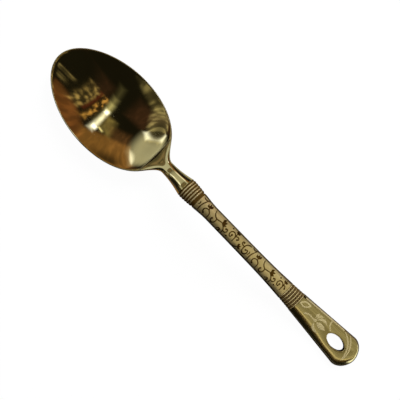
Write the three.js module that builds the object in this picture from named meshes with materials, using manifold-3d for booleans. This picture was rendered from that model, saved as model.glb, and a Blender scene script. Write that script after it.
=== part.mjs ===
// A long brass serving spoon: a polished bowl whose tang runs into a hollow, etched handle with an eyelet to hang it by.
// Millimetres, +Z up. The spoon lies face up along X, with the tip of the bowl at -X and the end of the tail at +X.
// The bottom of the bowl and the flat back of the tail rest on Z = 0. The origin is midway between tip and tail end.

import * as THREE from "three";
import { mergeVertices } from "three/addons/utils/BufferGeometryUtils.js";
import Module from "manifold-3d";

const wasm = await Module();
wasm.setup();

// Lengths along the spoon, in plan
const BOWL_LENGTH = 88; // tip to the heel of the oval outline
const BOWL_WIDEST_AT = 46.7; // tip to the widest and deepest place
const HEEL_LAND = 5.5; // plain land between the hollow and the heel
const HEEL_FILLET_LEAD = 5; // the outline leaves the oval this far before the heel
const WAIST_PAST_HEEL = 5; // heel to the narrowest place of the neck
const NECK_LENGTH = 21.6; // heel to the shoulder that the ferrule sits against
const FERRULE_LENGTH = 11.3;
const GRIP_LENGTH = 73.8;
const BAND_LENGTH = 10.7;
const TAIL_LENGTH = 50.6;
const TAIL_NOSE = 9.2; // widest place of the tail to its end
const TAIL_REST = 19.5; // level stretch of the tail that lies on the table
const ARCH_PAST_SHOULDER = 22; // shoulder to the top of the handle's arch
const SHOULDER_TAPER = 22; // run over which the shoulder thins to the grip
const FLARE_LEAD = 9.2; // the tail's flare starts this far before the band
const FLARE_BLEND = 17; // softness of that start
const SPIGOT_LENGTH = 5; // ferrule and band reach this far into the hollow pieces
const TANG_TAIL_REACH = 8; // the tang ends this far inside the tail

// Widths
const BOWL_WIDTH = 54.1;
const NECK_WIDTH = 8.3;
const SHOULDER_WIDTH = 12.8;
const GRIP_WIDTH = 9.3;
const TAIL_WIDTH = 21.1;
const TANG_WIDTH = 4.6;

// Depths from the seam line to the front and to the back
const NECK_FRONT = 2.7;
const NECK_BACK = 2.9;
const SHOULDER_FRONT = 4.7;
const SHOULDER_BACK = 4.2;
const GRIP_FRONT = 4.0;
const GRIP_BACK = 3.4;
const BAND_FRONT = 3.5;
const BAND_BACK = 3.1;
const TAIL_FRONT = 2.5;
const TAIL_BACK = 2.5;
const TANG_DEPTH = 3;

// The bowl's hollow and its wall
const BOWL_DEPTH = 11;
const FLOOR_WALL = 1.8;
const RIM_WALL = 1.3;
const RIM_ROUND = 0.7;
const CREASE_ROUND = 0.5; // softness of the edge between hollow and heel land

// Heights of the rim and seam line above its lowest place on the bowl
const TIP_RISE = 1.3;
const HEEL_RISE = 0.6;
const WAIST_RISE = 1.1;
const SHOULDER_RISE = 6.2;
const ARCH_RISE = 9.2;
const BAND_RISE = -3;

// Walls, clearances and the hanging hole
const SHELL_WALL = 1;
const NOSE_WALL = 2;
const BRAZE_GAP = 0.1; // gap that the brazing metal or the resin fills
const HOLE_LENGTH = 13.5;
const HOLE_WIDTH = 7.3;
const HOLE_FROM_END = 16.3; // centre of the hole to the end of the tail
const EYELET_WALL = 0.7;

// Ornament that is turned or cut into the collars
const BEAD_COUNT = 5;
const BEAD_HEIGHT = 0.45;
const FERRULE_GROOVE = 0.35; // groove between the shoulder and the first bead
const LIP_GROOVE = 0.8; // groove between the last bead and the lip
const FERRULE_LIP = 0.9;
const STUD_ROWS = 5;
const STUD_HEIGHT = 0.4;
const BAND_LIP = 0.6;
const STUD_FOOT = 0.15; // end of a lip or stud row to the bottom of the groove beside it
const STUD_SLOPE = 0.3; // bottom of the groove to the top of the stud
const LIP_STEP = 0.1; // the lips lie this far below the handle's skin

// Shape numbers
const CROSS_FULLNESS = 0.05; // 0 makes the bowl's cross-section a parabola, more makes it rounder
const DOME_POWER = 2.6; // 2 makes the front of the handle an ellipse, more makes it flatter
const BACK_FLAT = 0.5; // share of the handle's width that is flat at the back
const FLARE_POWER = 2; // how late the neck opens into the shoulder
const NOSE_POWER = 2;
const NOSE_POINT = 1.8; // 1 makes the end of the tail a point, 2 makes it round
const OUTLINE_POWER = 4;
const HOLLOW_POWER = 6; // how late the hollow rises to the crease at the heel
const CREASE_FALL = 2; // how sharply the hollow ends past the crease

// Mesh fineness
const HEAD_SIDES = 18;
const HANDLE_SIDES = 18;
const HIDDEN_SIDES = 10;
const STUDS_ACROSS = 8; // studs across the front of the band, and as many across its back
const SIDES_PER_STUD = 3;
const STUD_EVENNESS = 0.7;
const OVAL_SIDES = 20;

// Stations: distances in plan from the tip of the bowl
const HOLLOW_END = BOWL_LENGTH - HEEL_LAND;
const FILLET_AT = BOWL_LENGTH - HEEL_FILLET_LEAD;
const WAIST_AT = BOWL_LENGTH + WAIST_PAST_HEEL;
const SHOULDER_AT = BOWL_LENGTH + NECK_LENGTH;
const ARCH_AT = SHOULDER_AT + ARCH_PAST_SHOULDER;
const GRIP_AT = SHOULDER_AT + FERRULE_LENGTH;
const BAND_AT = GRIP_AT + GRIP_LENGTH;
const TAIL_AT = BAND_AT + BAND_LENGTH;
const END_AT = TAIL_AT + TAIL_LENGTH;
const TAIL_WIDEST_AT = END_AT - TAIL_NOSE;
const TAIL_REST_AT = END_AT - TAIL_REST;
const HOLE_AT = END_AT - HOLE_FROM_END;
const TANG_END = TAIL_AT + TANG_TAIL_REACH;

const ease = (u) => {
  const t = Math.min(1, Math.max(0, u));
  return t * t * (3 - 2 * t);
};
const mix = (a, b, share) => a + (b - a) * share;
const softPositive = (value, round) => (value + Math.hypot(value, round)) / 2;

// A smooth curve through [station, value] knots that never overshoots them: level at each peak, dip and flat run.
function smoothThrough(knots) {
  const slopes = knots.map(([s, value], i) => {
    if (i === 0 || i === knots.length - 1) return 0;
    const before = (value - knots[i - 1][1]) / (s - knots[i - 1][0]);
    const after = (knots[i + 1][1] - value) / (knots[i + 1][0] - s);
    return before * after <= 0 ? 0 : (2 * before * after) / (before + after);
  });
  return (station) => {
    const s = Math.min(knots.at(-1)[0], Math.max(knots[0][0], station));
    const i = Math.max(1, knots.findIndex(([knot]) => s <= knot));
    const [[s0, v0], [s1, v1]] = [knots[i - 1], knots[i]];
    const run = s1 - s0;
    const u = (s - s0) / run;
    const bend = run * u * (1 - u) * (slopes[i - 1] * (1 - u) - slopes[i] * u);
    return mix(v0, v1, ease(u)) + bend;
  };
}

// Plan outline

const BOWL_CURVE = 1 / (BOWL_WIDEST_AT * (BOWL_LENGTH - BOWL_WIDEST_AT));

// 0 at the widest place and 1 at the end of an oval half of the given length
function ovalLevel(s, halfLength, power) {
  const run = s - BOWL_WIDEST_AT;
  const rest = 1 - BOWL_CURVE * halfLength ** 2;
  return BOWL_CURVE * run ** 2 + rest * Math.abs(run / halfLength) ** power;
}

const HEEL_HALF = BOWL_LENGTH - BOWL_WIDEST_AT;

function ovalHalf(s) {
  const halfLength = s < BOWL_WIDEST_AT ? BOWL_WIDEST_AT : HEEL_HALF;
  const level = ovalLevel(s, halfLength, OUTLINE_POWER);
  return (BOWL_WIDTH / 2) * Math.sqrt(Math.max(0, 1 - level));
}

// The outline's fillet from the oval into the waist of the neck
function filletHalf(s) {
  const run = WAIST_AT - FILLET_AT;
  const u = (s - FILLET_AT) / run;
  const step = 0.01;
  const slope = (ovalHalf(FILLET_AT + step) - ovalHalf(FILLET_AT - step)) / (2 * step);
  return mix(ovalHalf(FILLET_AT), NECK_WIDTH / 2, ease(u)) + slope * run * u * (1 - u) ** 2;
}

// 0 at the waist of the neck and 1 at the shoulder
function neckFlare(s) {
  return Math.max(0, (s - WAIST_AT) / (SHOULDER_AT - WAIST_AT)) ** FLARE_POWER;
}

const neckHalf = (s) => mix(NECK_WIDTH, SHOULDER_WIDTH, neckFlare(s)) / 2;

const FLARE_AT = BAND_AT - FLARE_LEAD;
const flareRun = (s) => softPositive(s - FLARE_AT, FLARE_BLEND);

function handleHalf(s) {
  const taper = ((SHOULDER_WIDTH - GRIP_WIDTH) / 2) * (1 - ease((s - SHOULDER_AT) / SHOULDER_TAPER));
  const flare = ((TAIL_WIDTH - GRIP_WIDTH) / 2) * (flareRun(s) / flareRun(TAIL_WIDEST_AT));
  return GRIP_WIDTH / 2 + taper + flare;
}

function noseHalf(s) {
  const u = Math.min(1, (s - TAIL_WIDEST_AT) / TAIL_NOSE);
  return (TAIL_WIDTH / 2) * (1 - u ** NOSE_POWER) ** (1 / NOSE_POINT);
}

function halfWidth(s) {
  if (s <= FILLET_AT) return ovalHalf(s);
  if (s <= WAIST_AT) return filletHalf(s);
  if (s <= SHOULDER_AT) return neckHalf(s);
  return s <= TAIL_WIDEST_AT ? handleHalf(s) : noseHalf(s);
}

// Side profile: the height of the rim and seam line, and the depths in front of it and behind it

const RIM_HEIGHT = softPositive(BOWL_DEPTH, CREASE_ROUND) + FLOOR_WALL / 2;

const seamHeight = smoothThrough([
  [0, RIM_HEIGHT + TIP_RISE],
  [BOWL_WIDEST_AT, RIM_HEIGHT],
  [HOLLOW_END, RIM_HEIGHT + HEEL_RISE],
  [WAIST_AT, RIM_HEIGHT + WAIST_RISE],
  [SHOULDER_AT, RIM_HEIGHT + SHOULDER_RISE],
  [ARCH_AT, RIM_HEIGHT + ARCH_RISE],
  [BAND_AT, RIM_HEIGHT + BAND_RISE],
  [TAIL_REST_AT, TAIL_BACK],
  [END_AT, TAIL_BACK],
]);

const GRIP_MID = (GRIP_AT + BAND_AT) / 2;

const handleFront = smoothThrough([
  [SHOULDER_AT, SHOULDER_FRONT],
  [GRIP_MID, GRIP_FRONT],
  [BAND_AT, BAND_FRONT],
  [TAIL_REST_AT, TAIL_FRONT],
  [END_AT, TAIL_FRONT],
]);

function frontDepth(s) {
  return s < SHOULDER_AT ? mix(NECK_FRONT, SHOULDER_FRONT, neckFlare(s)) : handleFront(s);
}

const backDepth = smoothThrough([
  [WAIST_AT, NECK_BACK],
  [SHOULDER_AT, SHOULDER_BACK],
  [GRIP_MID, GRIP_BACK],
  [BAND_AT, BAND_BACK],
  [TAIL_REST_AT, TAIL_BACK],
  [END_AT, TAIL_BACK],
]);

function seamAngle(s) {
  const step = 0.05;
  return Math.atan2(seamHeight(s + step) - seamHeight(s - step), 2 * step);
}

const planX = (s) => s - END_AT / 2;

// The point at height n above the seam line, square to it
function offSeam(s, y, n, angle, sink = 0) {
  return new THREE.Vector3(
    planX(s) - n * Math.sin(angle),
    y,
    seamHeight(s) - sink + n * Math.cos(angle),
  );
}

// Cross-sections: v runs from -1 at one edge to 1 at the other

const dome = (v) => Math.sqrt(Math.max(0, 1 - Math.abs(v) ** DOME_POWER));

function flatBack(v) {
  const corner = Math.max(0, Math.abs(v) - BACK_FLAT) / (1 - BACK_FLAT);
  return Math.sqrt(Math.max(0, 1 - corner ** 2));
}

// How far the bowl's wall sinks below the rim line: a dish that follows the outline, ended by a straight
// crease at the heel. Its level is 0 at the deepest place and 1 at the rim and on the heel land.
function hollowSink(s, y) {
  const atHeel = s > BOWL_WIDEST_AT;
  const pastTheEdge = 1.4;
  const outline = Math.min(pastTheEdge, ovalLevel(s, atHeel ? HEEL_HALF : BOWL_WIDEST_AT, OUTLINE_POWER));
  const along = (1 + CROSS_FULLNESS) * outline - CROSS_FULLNESS * outline ** 2;
  const w = (2 * y) / BOWL_WIDTH;
  const across = (1 - CROSS_FULLNESS) * w ** 2 + CROSS_FULLNESS * w ** 4;
  const dish = 1 - along - across;
  const toCrease = atHeel ? (s - BOWL_WIDEST_AT) / (HOLLOW_END - BOWL_WIDEST_AT) : 0;
  const inside = Math.max(0, dish) * Math.max(0, 1 - toCrease ** HOLLOW_POWER);
  const outside = Math.max(0, -dish) + CREASE_FALL * Math.max(0, toCrease - 1);
  return { sink: softPositive(BOWL_DEPTH * (inside - outside), CREASE_ROUND), level: 1 - inside };
}

// Upright half thickness of the bowl's wall, which is thinner towards the rim
function wallHalf(s, y) {
  const step = 0.05;
  const slopeAlong = (hollowSink(s + step, y).sink - hollowSink(s - step, y).sink) / (2 * step);
  const slopeAcross = (hollowSink(s, y + step).sink - hollowSink(s, y - step).sink) / (2 * step);
  const wall = mix(FLOOR_WALL, RIM_WALL, hollowSink(s, y).level);
  return (wall / 2) * Math.hypot(1, slopeAlong, slopeAcross);
}

// Share of full thickness near the rim, which is rounded over
function rimRound(s, v) {
  const half = halfWidth(s);
  const step = 0.05;
  const slope = (halfWidth(s + step) - halfWidth(Math.max(0, s - step))) / (2 * step);
  const inFromEdge = (half * (1 - v * v)) / (2 * Math.hypot(1, slope));
  const u = Math.min(1, inFromEdge / RIM_ROUND);
  return Math.sqrt(u * (2 - u));
}

const NECK_BLEND = 3; // the wall starts to thicken into the neck this far before the hollow ends

// A point on the bowl and neck: side 1 is the upper face, -1 the underside
function headPoint(s, v, side) {
  const y = v * halfWidth(s);
  const neck = ease((s - HOLLOW_END + NECK_BLEND) / (WAIST_AT - HOLLOW_END + NECK_BLEND));
  const barDepth = side > 0 ? frontDepth(s) : backDepth(s);
  const depth = mix(wallHalf(s, y), barDepth, neck);
  const round = mix(rimRound(s, v), side > 0 ? dome(v) : flatBack(v), neck);
  return offSeam(s, y, side * depth * round, seamAngle(s) * neck, hollowSink(s, y).sink);
}

// How near a point lies to the handle's edge, from 0 on the centre line to 1: past the tail's widest place
// the edge runs round the nose, so that the front and the back roll over there too
function edgeShare(s, v) {
  const past = Math.max(0, (s - TAIL_WIDEST_AT) / TAIL_NOSE);
  if (past === 0) return v;
  const across = (Math.abs(v) * halfWidth(s)) / (TAIL_WIDTH / 2);
  return Math.min(1, (across ** NOSE_POINT + past ** NOSE_POWER) ** (1 / NOSE_POINT));
}

// A point on the handle's skin, or on a skin that lies the given distance outside it
function handlePoint(s, v, side, outside = 0) {
  const edge = edgeShare(s, v);
  const n = side > 0 ? (frontDepth(s) + outside) * dome(edge) : -(backDepth(s) + outside) * flatBack(edge);
  return offSeam(s, v * (halfWidth(s) + outside), n, seamAngle(s));
}

// A ring of points round a section: across the upper face, then back along the underside.
// The points lie closer together at the edges, less so the more even they are asked to be.
function ring(sides, point, even = 0) {
  const place = (j) => mix(Math.sin(Math.PI * (j / sides - 0.5)), (2 * j) / sides - 1, even);
  const across = Array.from({ length: sides + 1 }, (_, j) => place(j));
  const upper = across.map((v, j) => point(v, 1, j));
  const under = across.slice(1, -1).map((v, j) => point(v, -1, j + 1)).reverse();
  return [...upper, ...under];
}

const handleRing = (s, sides, outside = 0, even = 0) =>
  ring(sides, (v, side) => handlePoint(s, v, side, outside), even);

// A box-shaped ring, between heights low and high off the seam line
function barRing(s, half, low, high) {
  const angle = seamAngle(s);
  const corners = [[-half, high], [half, high], [half, low], [-half, low]];
  return corners.map(([y, n]) => offSeam(s, y, n, angle));
}

// A closed solid through rings of equal count. An end is capped flat, or drawn to a point where one is given.
function loft(rings, { startPoint, endPoint } = {}) {
  const count = rings[0].length;
  const points = rings.flat();
  const faces = [];
  const last = (rings.length - 1) * count;
  for (let start = 0; start < last; start += count) {
    for (let j = 0; j < count; j++) {
      const [a, b] = [start + j, start + ((j + 1) % count)];
      faces.push(a, b + count, b, a, a + count, b + count);
    }
  }
  const close = (base, apex, flip) => {
    const face = (a, b, c) => faces.push(...(flip ? [a, c, b] : [a, b, c]));
    if (apex) {
      points.push(apex);
      for (let j = 0; j < count; j++) face(base + ((j + 1) % count), base + j, points.length - 1);
      return;
    }
    for (let j = 0; j < count / 2; j++) {
      const [a, b] = [base + j, base + j + 1];
      const [c, d] = [base + count - 1 - j, base + ((count - j) % count)];
      if (d !== a) face(a, d, c);
      if (b !== c) face(a, c, b);
    }
  };
  close(0, startPoint, true);
  close(last, endPoint, false);
  const geometry = new THREE.BufferGeometry().setFromPoints(points);
  geometry.setIndex(faces);
  return geometry;
}

const stations = (from, to, count) => Array.from({ length: count + 1 }, (_, i) => mix(from, to, i / count));

function solidOf(geometry) {
  const bare = geometry.clone();
  bare.deleteAttribute("normal");
  bare.deleteAttribute("uv");
  const merged = mergeVertices(bare, 1e-5);
  return new wasm.Manifold(
    new wasm.Mesh({
      numProp: 3,
      vertProperties: merged.attributes.position.array,
      triVerts: new Uint32Array(merged.index.array),
    }),
  );
}

function geometryOf(solid) {
  const mesh = solid.getMesh();
  const geometry = new THREE.BufferGeometry();
  geometry.setAttribute("position", new THREE.BufferAttribute(mesh.vertProperties, 3));
  geometry.setIndex(new THREE.BufferAttribute(mesh.triVerts, 1));
  geometry.computeVertexNormals();
  return geometry;
}

// A stretch of the handle's form as a solid, or of a form that lies outside or inside it
function handleSolid(from, to, steps, sides, outside = 0) {
  return solidOf(loft(stations(from, to, steps).map((s) => handleRing(s, sides, outside))));
}

// The tang's form, or the slot for it, which is wider all round by the clearance
function tangSolid(from, to, clearance) {
  const half = TANG_WIDTH / 2 + clearance;
  const reach = TANG_DEPTH / 2 + clearance;
  const steps = 24;
  return solidOf(loft(stations(from, to, steps).map((s) => barRing(s, half, -reach, reach))));
}

const PAST = 1; // cutters run this far past what they cut
const tangSlot = tangSolid(SHOULDER_AT - PAST, TANG_END + BRAZE_GAP, BRAZE_GAP);

// What lies behind (side -1) or in front (side 1) of the seam, up to half a brazing gap past it
function seamBlock(side, from, to, steps) {
  const reach = TAIL_WIDTH + SHOULDER_FRONT + SHOULDER_BACK;
  const edge = (-side * BRAZE_GAP) / 2;
  const rings = stations(from, to, steps).map((s) =>
    barRing(s, reach, side < 0 ? -reach : edge, side < 0 ? edge : reach),
  );
  return solidOf(loft(rings));
}

// Bowl, neck and tang, forged in one piece

function bowlAndTang() {
  const tipSteps = 14;
  const heelSteps = 18;
  const neckSteps = 8;
  const tip = Array.from(
    { length: tipSteps },
    (_, i) => BOWL_WIDEST_AT * (1 - Math.cos(((i + 1) / tipSteps) * (Math.PI / 2))),
  );
  const heel = stations(BOWL_WIDEST_AT, WAIST_AT, heelSteps).slice(1);
  const neck = stations(WAIST_AT, SHOULDER_AT, neckSteps).slice(1);
  const rings = [...tip, ...heel, ...neck].map((s) => ring(HEAD_SIDES, (v, side) => headPoint(s, v, side)));
  const head = solidOf(loft(rings, { startPoint: headPoint(0, 0, 1) }));
  const root = NECK_LENGTH / 4; // the tang starts this far inside the neck
  return head.add(tangSolid(SHOULDER_AT - root, TANG_END, 0));
}

// A spigot that reaches from inside a collar into the hollow piece beside it
function spigot(from, to) {
  const steps = 3;
  return handleSolid(from, to, steps, HIDDEN_SIDES, -SHELL_WALL - BRAZE_GAP);
}

// Collar in front of the grip, with round beads turned in it and a plain lip at the grip

function ribbedFerrule() {
  const from = SHOULDER_AT + BRAZE_GAP;
  const to = GRIP_AT;
  const firstBead = from + FERRULE_GROOVE;
  const pitch = (to - firstBead - FERRULE_LIP - LIP_GROOVE) / BEAD_COUNT;
  const beadSteps = 5;
  const groove = -BEAD_HEIGHT;
  const profile = [[from, groove]];
  for (let bead = 0; bead < BEAD_COUNT; bead++) {
    for (let i = 0; i < beadSteps; i++) {
      const turn = (Math.PI * (i + 0.5)) / beadSteps;
      const middle = firstBead + pitch * (bead + 0.5);
      profile.push([middle - (pitch / 2) * Math.cos(turn), groove + BEAD_HEIGHT * Math.sin(turn)]);
    }
  }
  profile.push([to - FERRULE_LIP - LIP_GROOVE / 2, groove], [to - FERRULE_LIP, -LIP_STEP], [to, -LIP_STEP]);
  const collar = solidOf(loft(profile.map(([s, outside]) => handleRing(s, HANDLE_SIDES, outside))));
  return collar.add(spigot(to - PAST, to + SPIGOT_LENGTH)).subtract(tangSlot);
}

// Two pressed half shells that make the hollow grip

function gripShell(side) {
  const steps = 14;
  const from = GRIP_AT + BRAZE_GAP;
  const outer = handleSolid(from, BAND_AT, steps, HANDLE_SIDES);
  const inner = handleSolid(from - PAST, BAND_AT + PAST, steps, HIDDEN_SIDES, -SHELL_WALL);
  return outer.subtract(inner).subtract(seamBlock(-side, from - PAST, BAND_AT + PAST, steps));
}

// Resin that holds the tang in the grip

function gripCore() {
  const from = GRIP_AT + SPIGOT_LENGTH + BRAZE_GAP;
  const to = BAND_AT - SPIGOT_LENGTH - BRAZE_GAP;
  const steps = 12;
  return handleSolid(from, to, steps, HIDDEN_SIDES, -SHELL_WALL - BRAZE_GAP).subtract(tangSlot);
}

// Collar behind the grip, with beads that are cut into square studs

function notchedBand() {
  const from = BAND_AT + BRAZE_GAP;
  const to = TAIL_AT;
  const pitch = (to - from - 2 * (BAND_LIP + STUD_FOOT)) / STUD_ROWS;
  const groove = -STUD_HEIGHT;
  const sides = STUDS_ACROSS * SIDES_PER_STUD;
  const plain = (s, outside) => handleRing(s, sides, outside, STUD_EVENNESS);
  const studded = (s) => {
    const point = (v, side, j) => handlePoint(s, v, side, j % SIDES_PER_STUD === 0 ? groove : 0);
    return ring(sides, point, STUD_EVENNESS);
  };
  const rings = [plain(from, -LIP_STEP), plain(from + BAND_LIP, -LIP_STEP)];
  for (let row = 0; row < STUD_ROWS; row++) {
    const foot = from + BAND_LIP + STUD_FOOT + pitch * row;
    rings.push(plain(foot, groove));
    rings.push(studded(foot + STUD_SLOPE));
    rings.push(studded(foot + pitch - STUD_SLOPE));
  }
  rings.push(plain(to - BAND_LIP - STUD_FOOT, groove));
  rings.push(plain(to - BAND_LIP, -LIP_STEP), plain(to, -LIP_STEP));
  return solidOf(loft(rings))
    .add(spigot(from - SPIGOT_LENGTH, from + PAST))
    .add(spigot(to - PAST, to + SPIGOT_LENGTH))
    .subtract(tangSlot);
}

// Flared, hollow tail in two half shells, pierced for the eyelet

const EYELET_TOP = TAIL_BACK + TAIL_FRONT;

function ovalShape(extra) {
  const shape = new THREE.Shape();
  shape.absellipse(0, 0, HOLE_LENGTH / 2 + extra, HOLE_WIDTH / 2 + extra, 0, 2 * Math.PI);
  return shape;
}

function uprightOval(shape, height) {
  return new THREE.ExtrudeGeometry(shape, { depth: height, bevelEnabled: false, curveSegments: OVAL_SIDES });
}

function tailShell(side) {
  const from = TAIL_AT + BRAZE_GAP;
  const flareSteps = 10;
  const noseSteps = 8;
  const nose = Array.from(
    { length: noseSteps - 1 },
    (_, i) => TAIL_WIDEST_AT + TAIL_NOSE * Math.sin(((i + 1) / noseSteps) * (Math.PI / 2)),
  );
  const outerRings = [...stations(from, TAIL_WIDEST_AT, flareSteps), ...nose].map((s) =>
    handleRing(s, HANDLE_SIDES),
  );
  const outer = solidOf(loft(outerRings, { endPoint: handlePoint(END_AT, 0, 0) }));
  const inner = handleSolid(from - PAST, END_AT - NOSE_WALL, flareSteps + 4, HIDDEN_SIDES, -SHELL_WALL);
  const piercing = uprightOval(ovalShape(EYELET_WALL + BRAZE_GAP), EYELET_TOP + 3 * PAST);
  piercing.translate(planX(HOLE_AT), 0, -PAST);
  return outer
    .subtract(inner)
    .subtract(seamBlock(-side, from - PAST, END_AT + PAST, flareSteps + noseSteps))
    .subtract(solidOf(piercing));
}

// Oval tube that lines the hanging hole

function hangingEyelet() {
  const shape = ovalShape(EYELET_WALL);
  shape.holes.push(ovalShape(0));
  return solidOf(uprightOval(shape, EYELET_TOP));
}

// Assembly

const polishedBrass = new THREE.MeshStandardMaterial({ color: 0xc8a95c, roughness: 0.12, metalness: 1 });
const etchedBrass = new THREE.MeshStandardMaterial({ color: 0xb8974f, roughness: 0.38, metalness: 1 });
const agedBrass = new THREE.MeshStandardMaterial({ color: 0xa98643, roughness: 0.3, metalness: 1 });
const pouredResin = new THREE.MeshStandardMaterial({ color: 0x4a3a2a, roughness: 0.7, metalness: 0 });

function piece(name, solid, material) {
  const mesh = new THREE.Mesh(geometryOf(solid), material);
  mesh.name = name;
  return mesh;
}

const eyelet = piece("hanging_eyelet", hangingEyelet(), polishedBrass);
eyelet.position.x = planX(HOLE_AT);

const handle = new THREE.Group();
handle.name = "handle";
handle.add(
  piece("ribbed_ferrule", ribbedFerrule(), agedBrass),
  piece("grip_front_shell", gripShell(1), etchedBrass),
  piece("grip_back_shell", gripShell(-1), etchedBrass),
  piece("grip_core", gripCore(), pouredResin),
  piece("notched_band", notchedBand(), agedBrass),
  piece("tail_front_shell", tailShell(1), polishedBrass),
  piece("tail_back_shell", tailShell(-1), polishedBrass),
  eyelet,
);

const spoon = new THREE.Group();
spoon.name = "serving_spoon";
spoon.add(piece("bowl_and_tang", bowlAndTang(), polishedBrass), handle);

export default spoon;
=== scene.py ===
# %% [markdown]
# # A long brass serving spoon
# The spoon is a stack of pieces on one tang: a forged bowl and neck, a beaded ferrule, a hollow grip in
# two shells, a studded band, a hollow tail in two shells and an eyelet to hang it by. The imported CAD
# model holds the sizes. This lesson gives each piece its fine form and its finish, on the same lines.

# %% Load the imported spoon
import math

import bpy
import numpy as np
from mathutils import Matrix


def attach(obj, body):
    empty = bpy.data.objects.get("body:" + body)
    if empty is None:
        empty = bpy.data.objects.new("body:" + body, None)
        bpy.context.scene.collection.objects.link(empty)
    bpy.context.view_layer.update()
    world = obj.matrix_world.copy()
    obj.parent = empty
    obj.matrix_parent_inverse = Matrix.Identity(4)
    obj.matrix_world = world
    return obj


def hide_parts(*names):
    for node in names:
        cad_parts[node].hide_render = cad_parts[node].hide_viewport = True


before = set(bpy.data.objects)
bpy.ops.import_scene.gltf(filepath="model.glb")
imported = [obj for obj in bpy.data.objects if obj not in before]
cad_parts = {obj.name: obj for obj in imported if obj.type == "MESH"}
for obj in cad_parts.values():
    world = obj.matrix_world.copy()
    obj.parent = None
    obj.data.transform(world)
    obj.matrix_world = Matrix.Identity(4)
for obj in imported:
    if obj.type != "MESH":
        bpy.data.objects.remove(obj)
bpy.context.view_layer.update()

# %% [markdown]
# ## The lines of the spoon
# A maker draws two lines first: the outline from above and the seam line from the side. Every piece
# follows them. They could be redrawn by eye, but then the pieces would not meet, so the same few sizes as
# in the CAD model are written here and the two lines are worked out from them. All are in millimetres.

# %% Sizes of the spoon
MM = 0.001
BOWL_WIDEST_AT, HOLLOW_END, FILLET_AT, HEEL_AT, WAIST_AT = 46.7, 82.5, 83.0, 88.0, 93.0
SHOULDER_AT, GRIP_AT, ARCH_AT, BAND_AT, TAIL_AT = 109.6, 120.9, 131.6, 194.7, 205.4
TANG_END, TAIL_REST_AT, HOLE_AT, TAIL_WIDEST_AT, END_AT = 213.4, 236.5, 239.7, 246.8, 256.0
BOWL_WIDTH, NECK_WIDTH, SHOULDER_WIDTH, GRIP_WIDTH, TAIL_WIDTH = 54.1, 8.3, 12.8, 9.3, 21.1
BOWL_DEPTH, FLOOR_WALL, RIM_WALL, RIM_ROUND, CREASE_ROUND = 11.0, 1.8, 1.3, 0.7, 0.5
TANG_WIDTH, TANG_DEPTH, SHELL_WALL, SEAM_GAP = 4.6, 3.0, 1.0, 0.1
HOLE_LENGTH, HOLE_WIDTH, EYELET_WALL = 13.5, 7.3, 0.7
TAIL_NOSE = END_AT - TAIL_WIDEST_AT
GRIP_MIDDLE = (GRIP_AT + BAND_AT) / 2
print("spoon", END_AT, "mm long, bowl", BOWL_WIDTH, "mm wide")


# %% Soft steps and smooth curves
def ease(u):
    t = np.clip(u, 0, 1)
    return t * t * (3 - 2 * t)


def mix(a, b, share):
    return a + (b - a) * share


def soft_positive(value, round_off):
    return (value + np.hypot(value, round_off)) / 2


def smooth_through(*knots):
    """A curve through (station, value) knots that is level at each peak, dip and flat run."""
    places, values = np.array(knots, float).T
    steps = np.diff(values) / np.diff(places)
    slopes = np.zeros(len(values))
    for i, (before, after) in enumerate(zip(steps, steps[1:]), start=1):
        if before * after > 0:
            slopes[i] = 2 * before * after / (before + after)

    def curve(s):
        s = np.clip(s, places[0], places[-1])
        i = np.clip(np.searchsorted(places, s), 1, len(places) - 1)
        run = places[i] - places[i - 1]
        u = (s - places[i - 1]) / run
        bend = run * u * (1 - u) * (slopes[i - 1] * (1 - u) - slopes[i] * u)
        return mix(values[i - 1], values[i], ease(u)) + bend

    return curve


# %% The bowl's outline from above
OVAL_POWER = 4
BOWL_CURVE = 1 / (BOWL_WIDEST_AT * (HEEL_AT - BOWL_WIDEST_AT))


def oval_level(s):
    """0 where the bowl is widest, rising to 1 at its tip and at its heel."""
    run = s - BOWL_WIDEST_AT
    half_length = np.where(run < 0, BOWL_WIDEST_AT, HEEL_AT - BOWL_WIDEST_AT)
    rest = 1 - BOWL_CURVE * half_length**2
    return BOWL_CURVE * run**2 + rest * np.abs(run / half_length) ** OVAL_POWER


def oval_half(s):
    return BOWL_WIDTH / 2 * np.sqrt(np.maximum(0, 1 - oval_level(s)))


def fillet_half(s):
    run, step = WAIST_AT - FILLET_AT, 0.01
    u = (s - FILLET_AT) / run
    slope = (oval_half(FILLET_AT + step) - oval_half(FILLET_AT - step)) / (2 * step)
    return mix(oval_half(FILLET_AT), NECK_WIDTH / 2, ease(u)) + slope * run * u * (1 - u) ** 2


# %% The outline of the neck and the handle
FLARE_POWER, NOSE_POINT = 2, 1.8
FLARE_LEAD, FLARE_BLEND, SHOULDER_TAPER = 9.2, 17.0, 22.0
FLARE_AT = BAND_AT - FLARE_LEAD


def neck_flare(s):
    return np.clip((s - WAIST_AT) / (SHOULDER_AT - WAIST_AT), 0, 1) ** FLARE_POWER


def neck_half(s):
    return mix(NECK_WIDTH, SHOULDER_WIDTH, neck_flare(s)) / 2


def handle_half(s):
    taper = (SHOULDER_WIDTH - GRIP_WIDTH) / 2 * (1 - ease((s - SHOULDER_AT) / SHOULDER_TAPER))
    flare = soft_positive(s - FLARE_AT, FLARE_BLEND) / soft_positive(TAIL_WIDEST_AT - FLARE_AT, FLARE_BLEND)
    return GRIP_WIDTH / 2 + taper + (TAIL_WIDTH - GRIP_WIDTH) / 2 * flare


def nose_half(s):
    u = np.clip((s - TAIL_WIDEST_AT) / TAIL_NOSE, 0, 1)
    return TAIL_WIDTH / 2 * (1 - u**2) ** (1 / NOSE_POINT)


def half_width(s):
    s = np.asarray(s, float)
    edges = [s <= FILLET_AT, s <= WAIST_AT, s <= SHOULDER_AT, s <= TAIL_WIDEST_AT]
    forms = [oval_half(s), fillet_half(s), neck_half(s), handle_half(s)]
    return np.select(edges, forms, nose_half(s))


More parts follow.
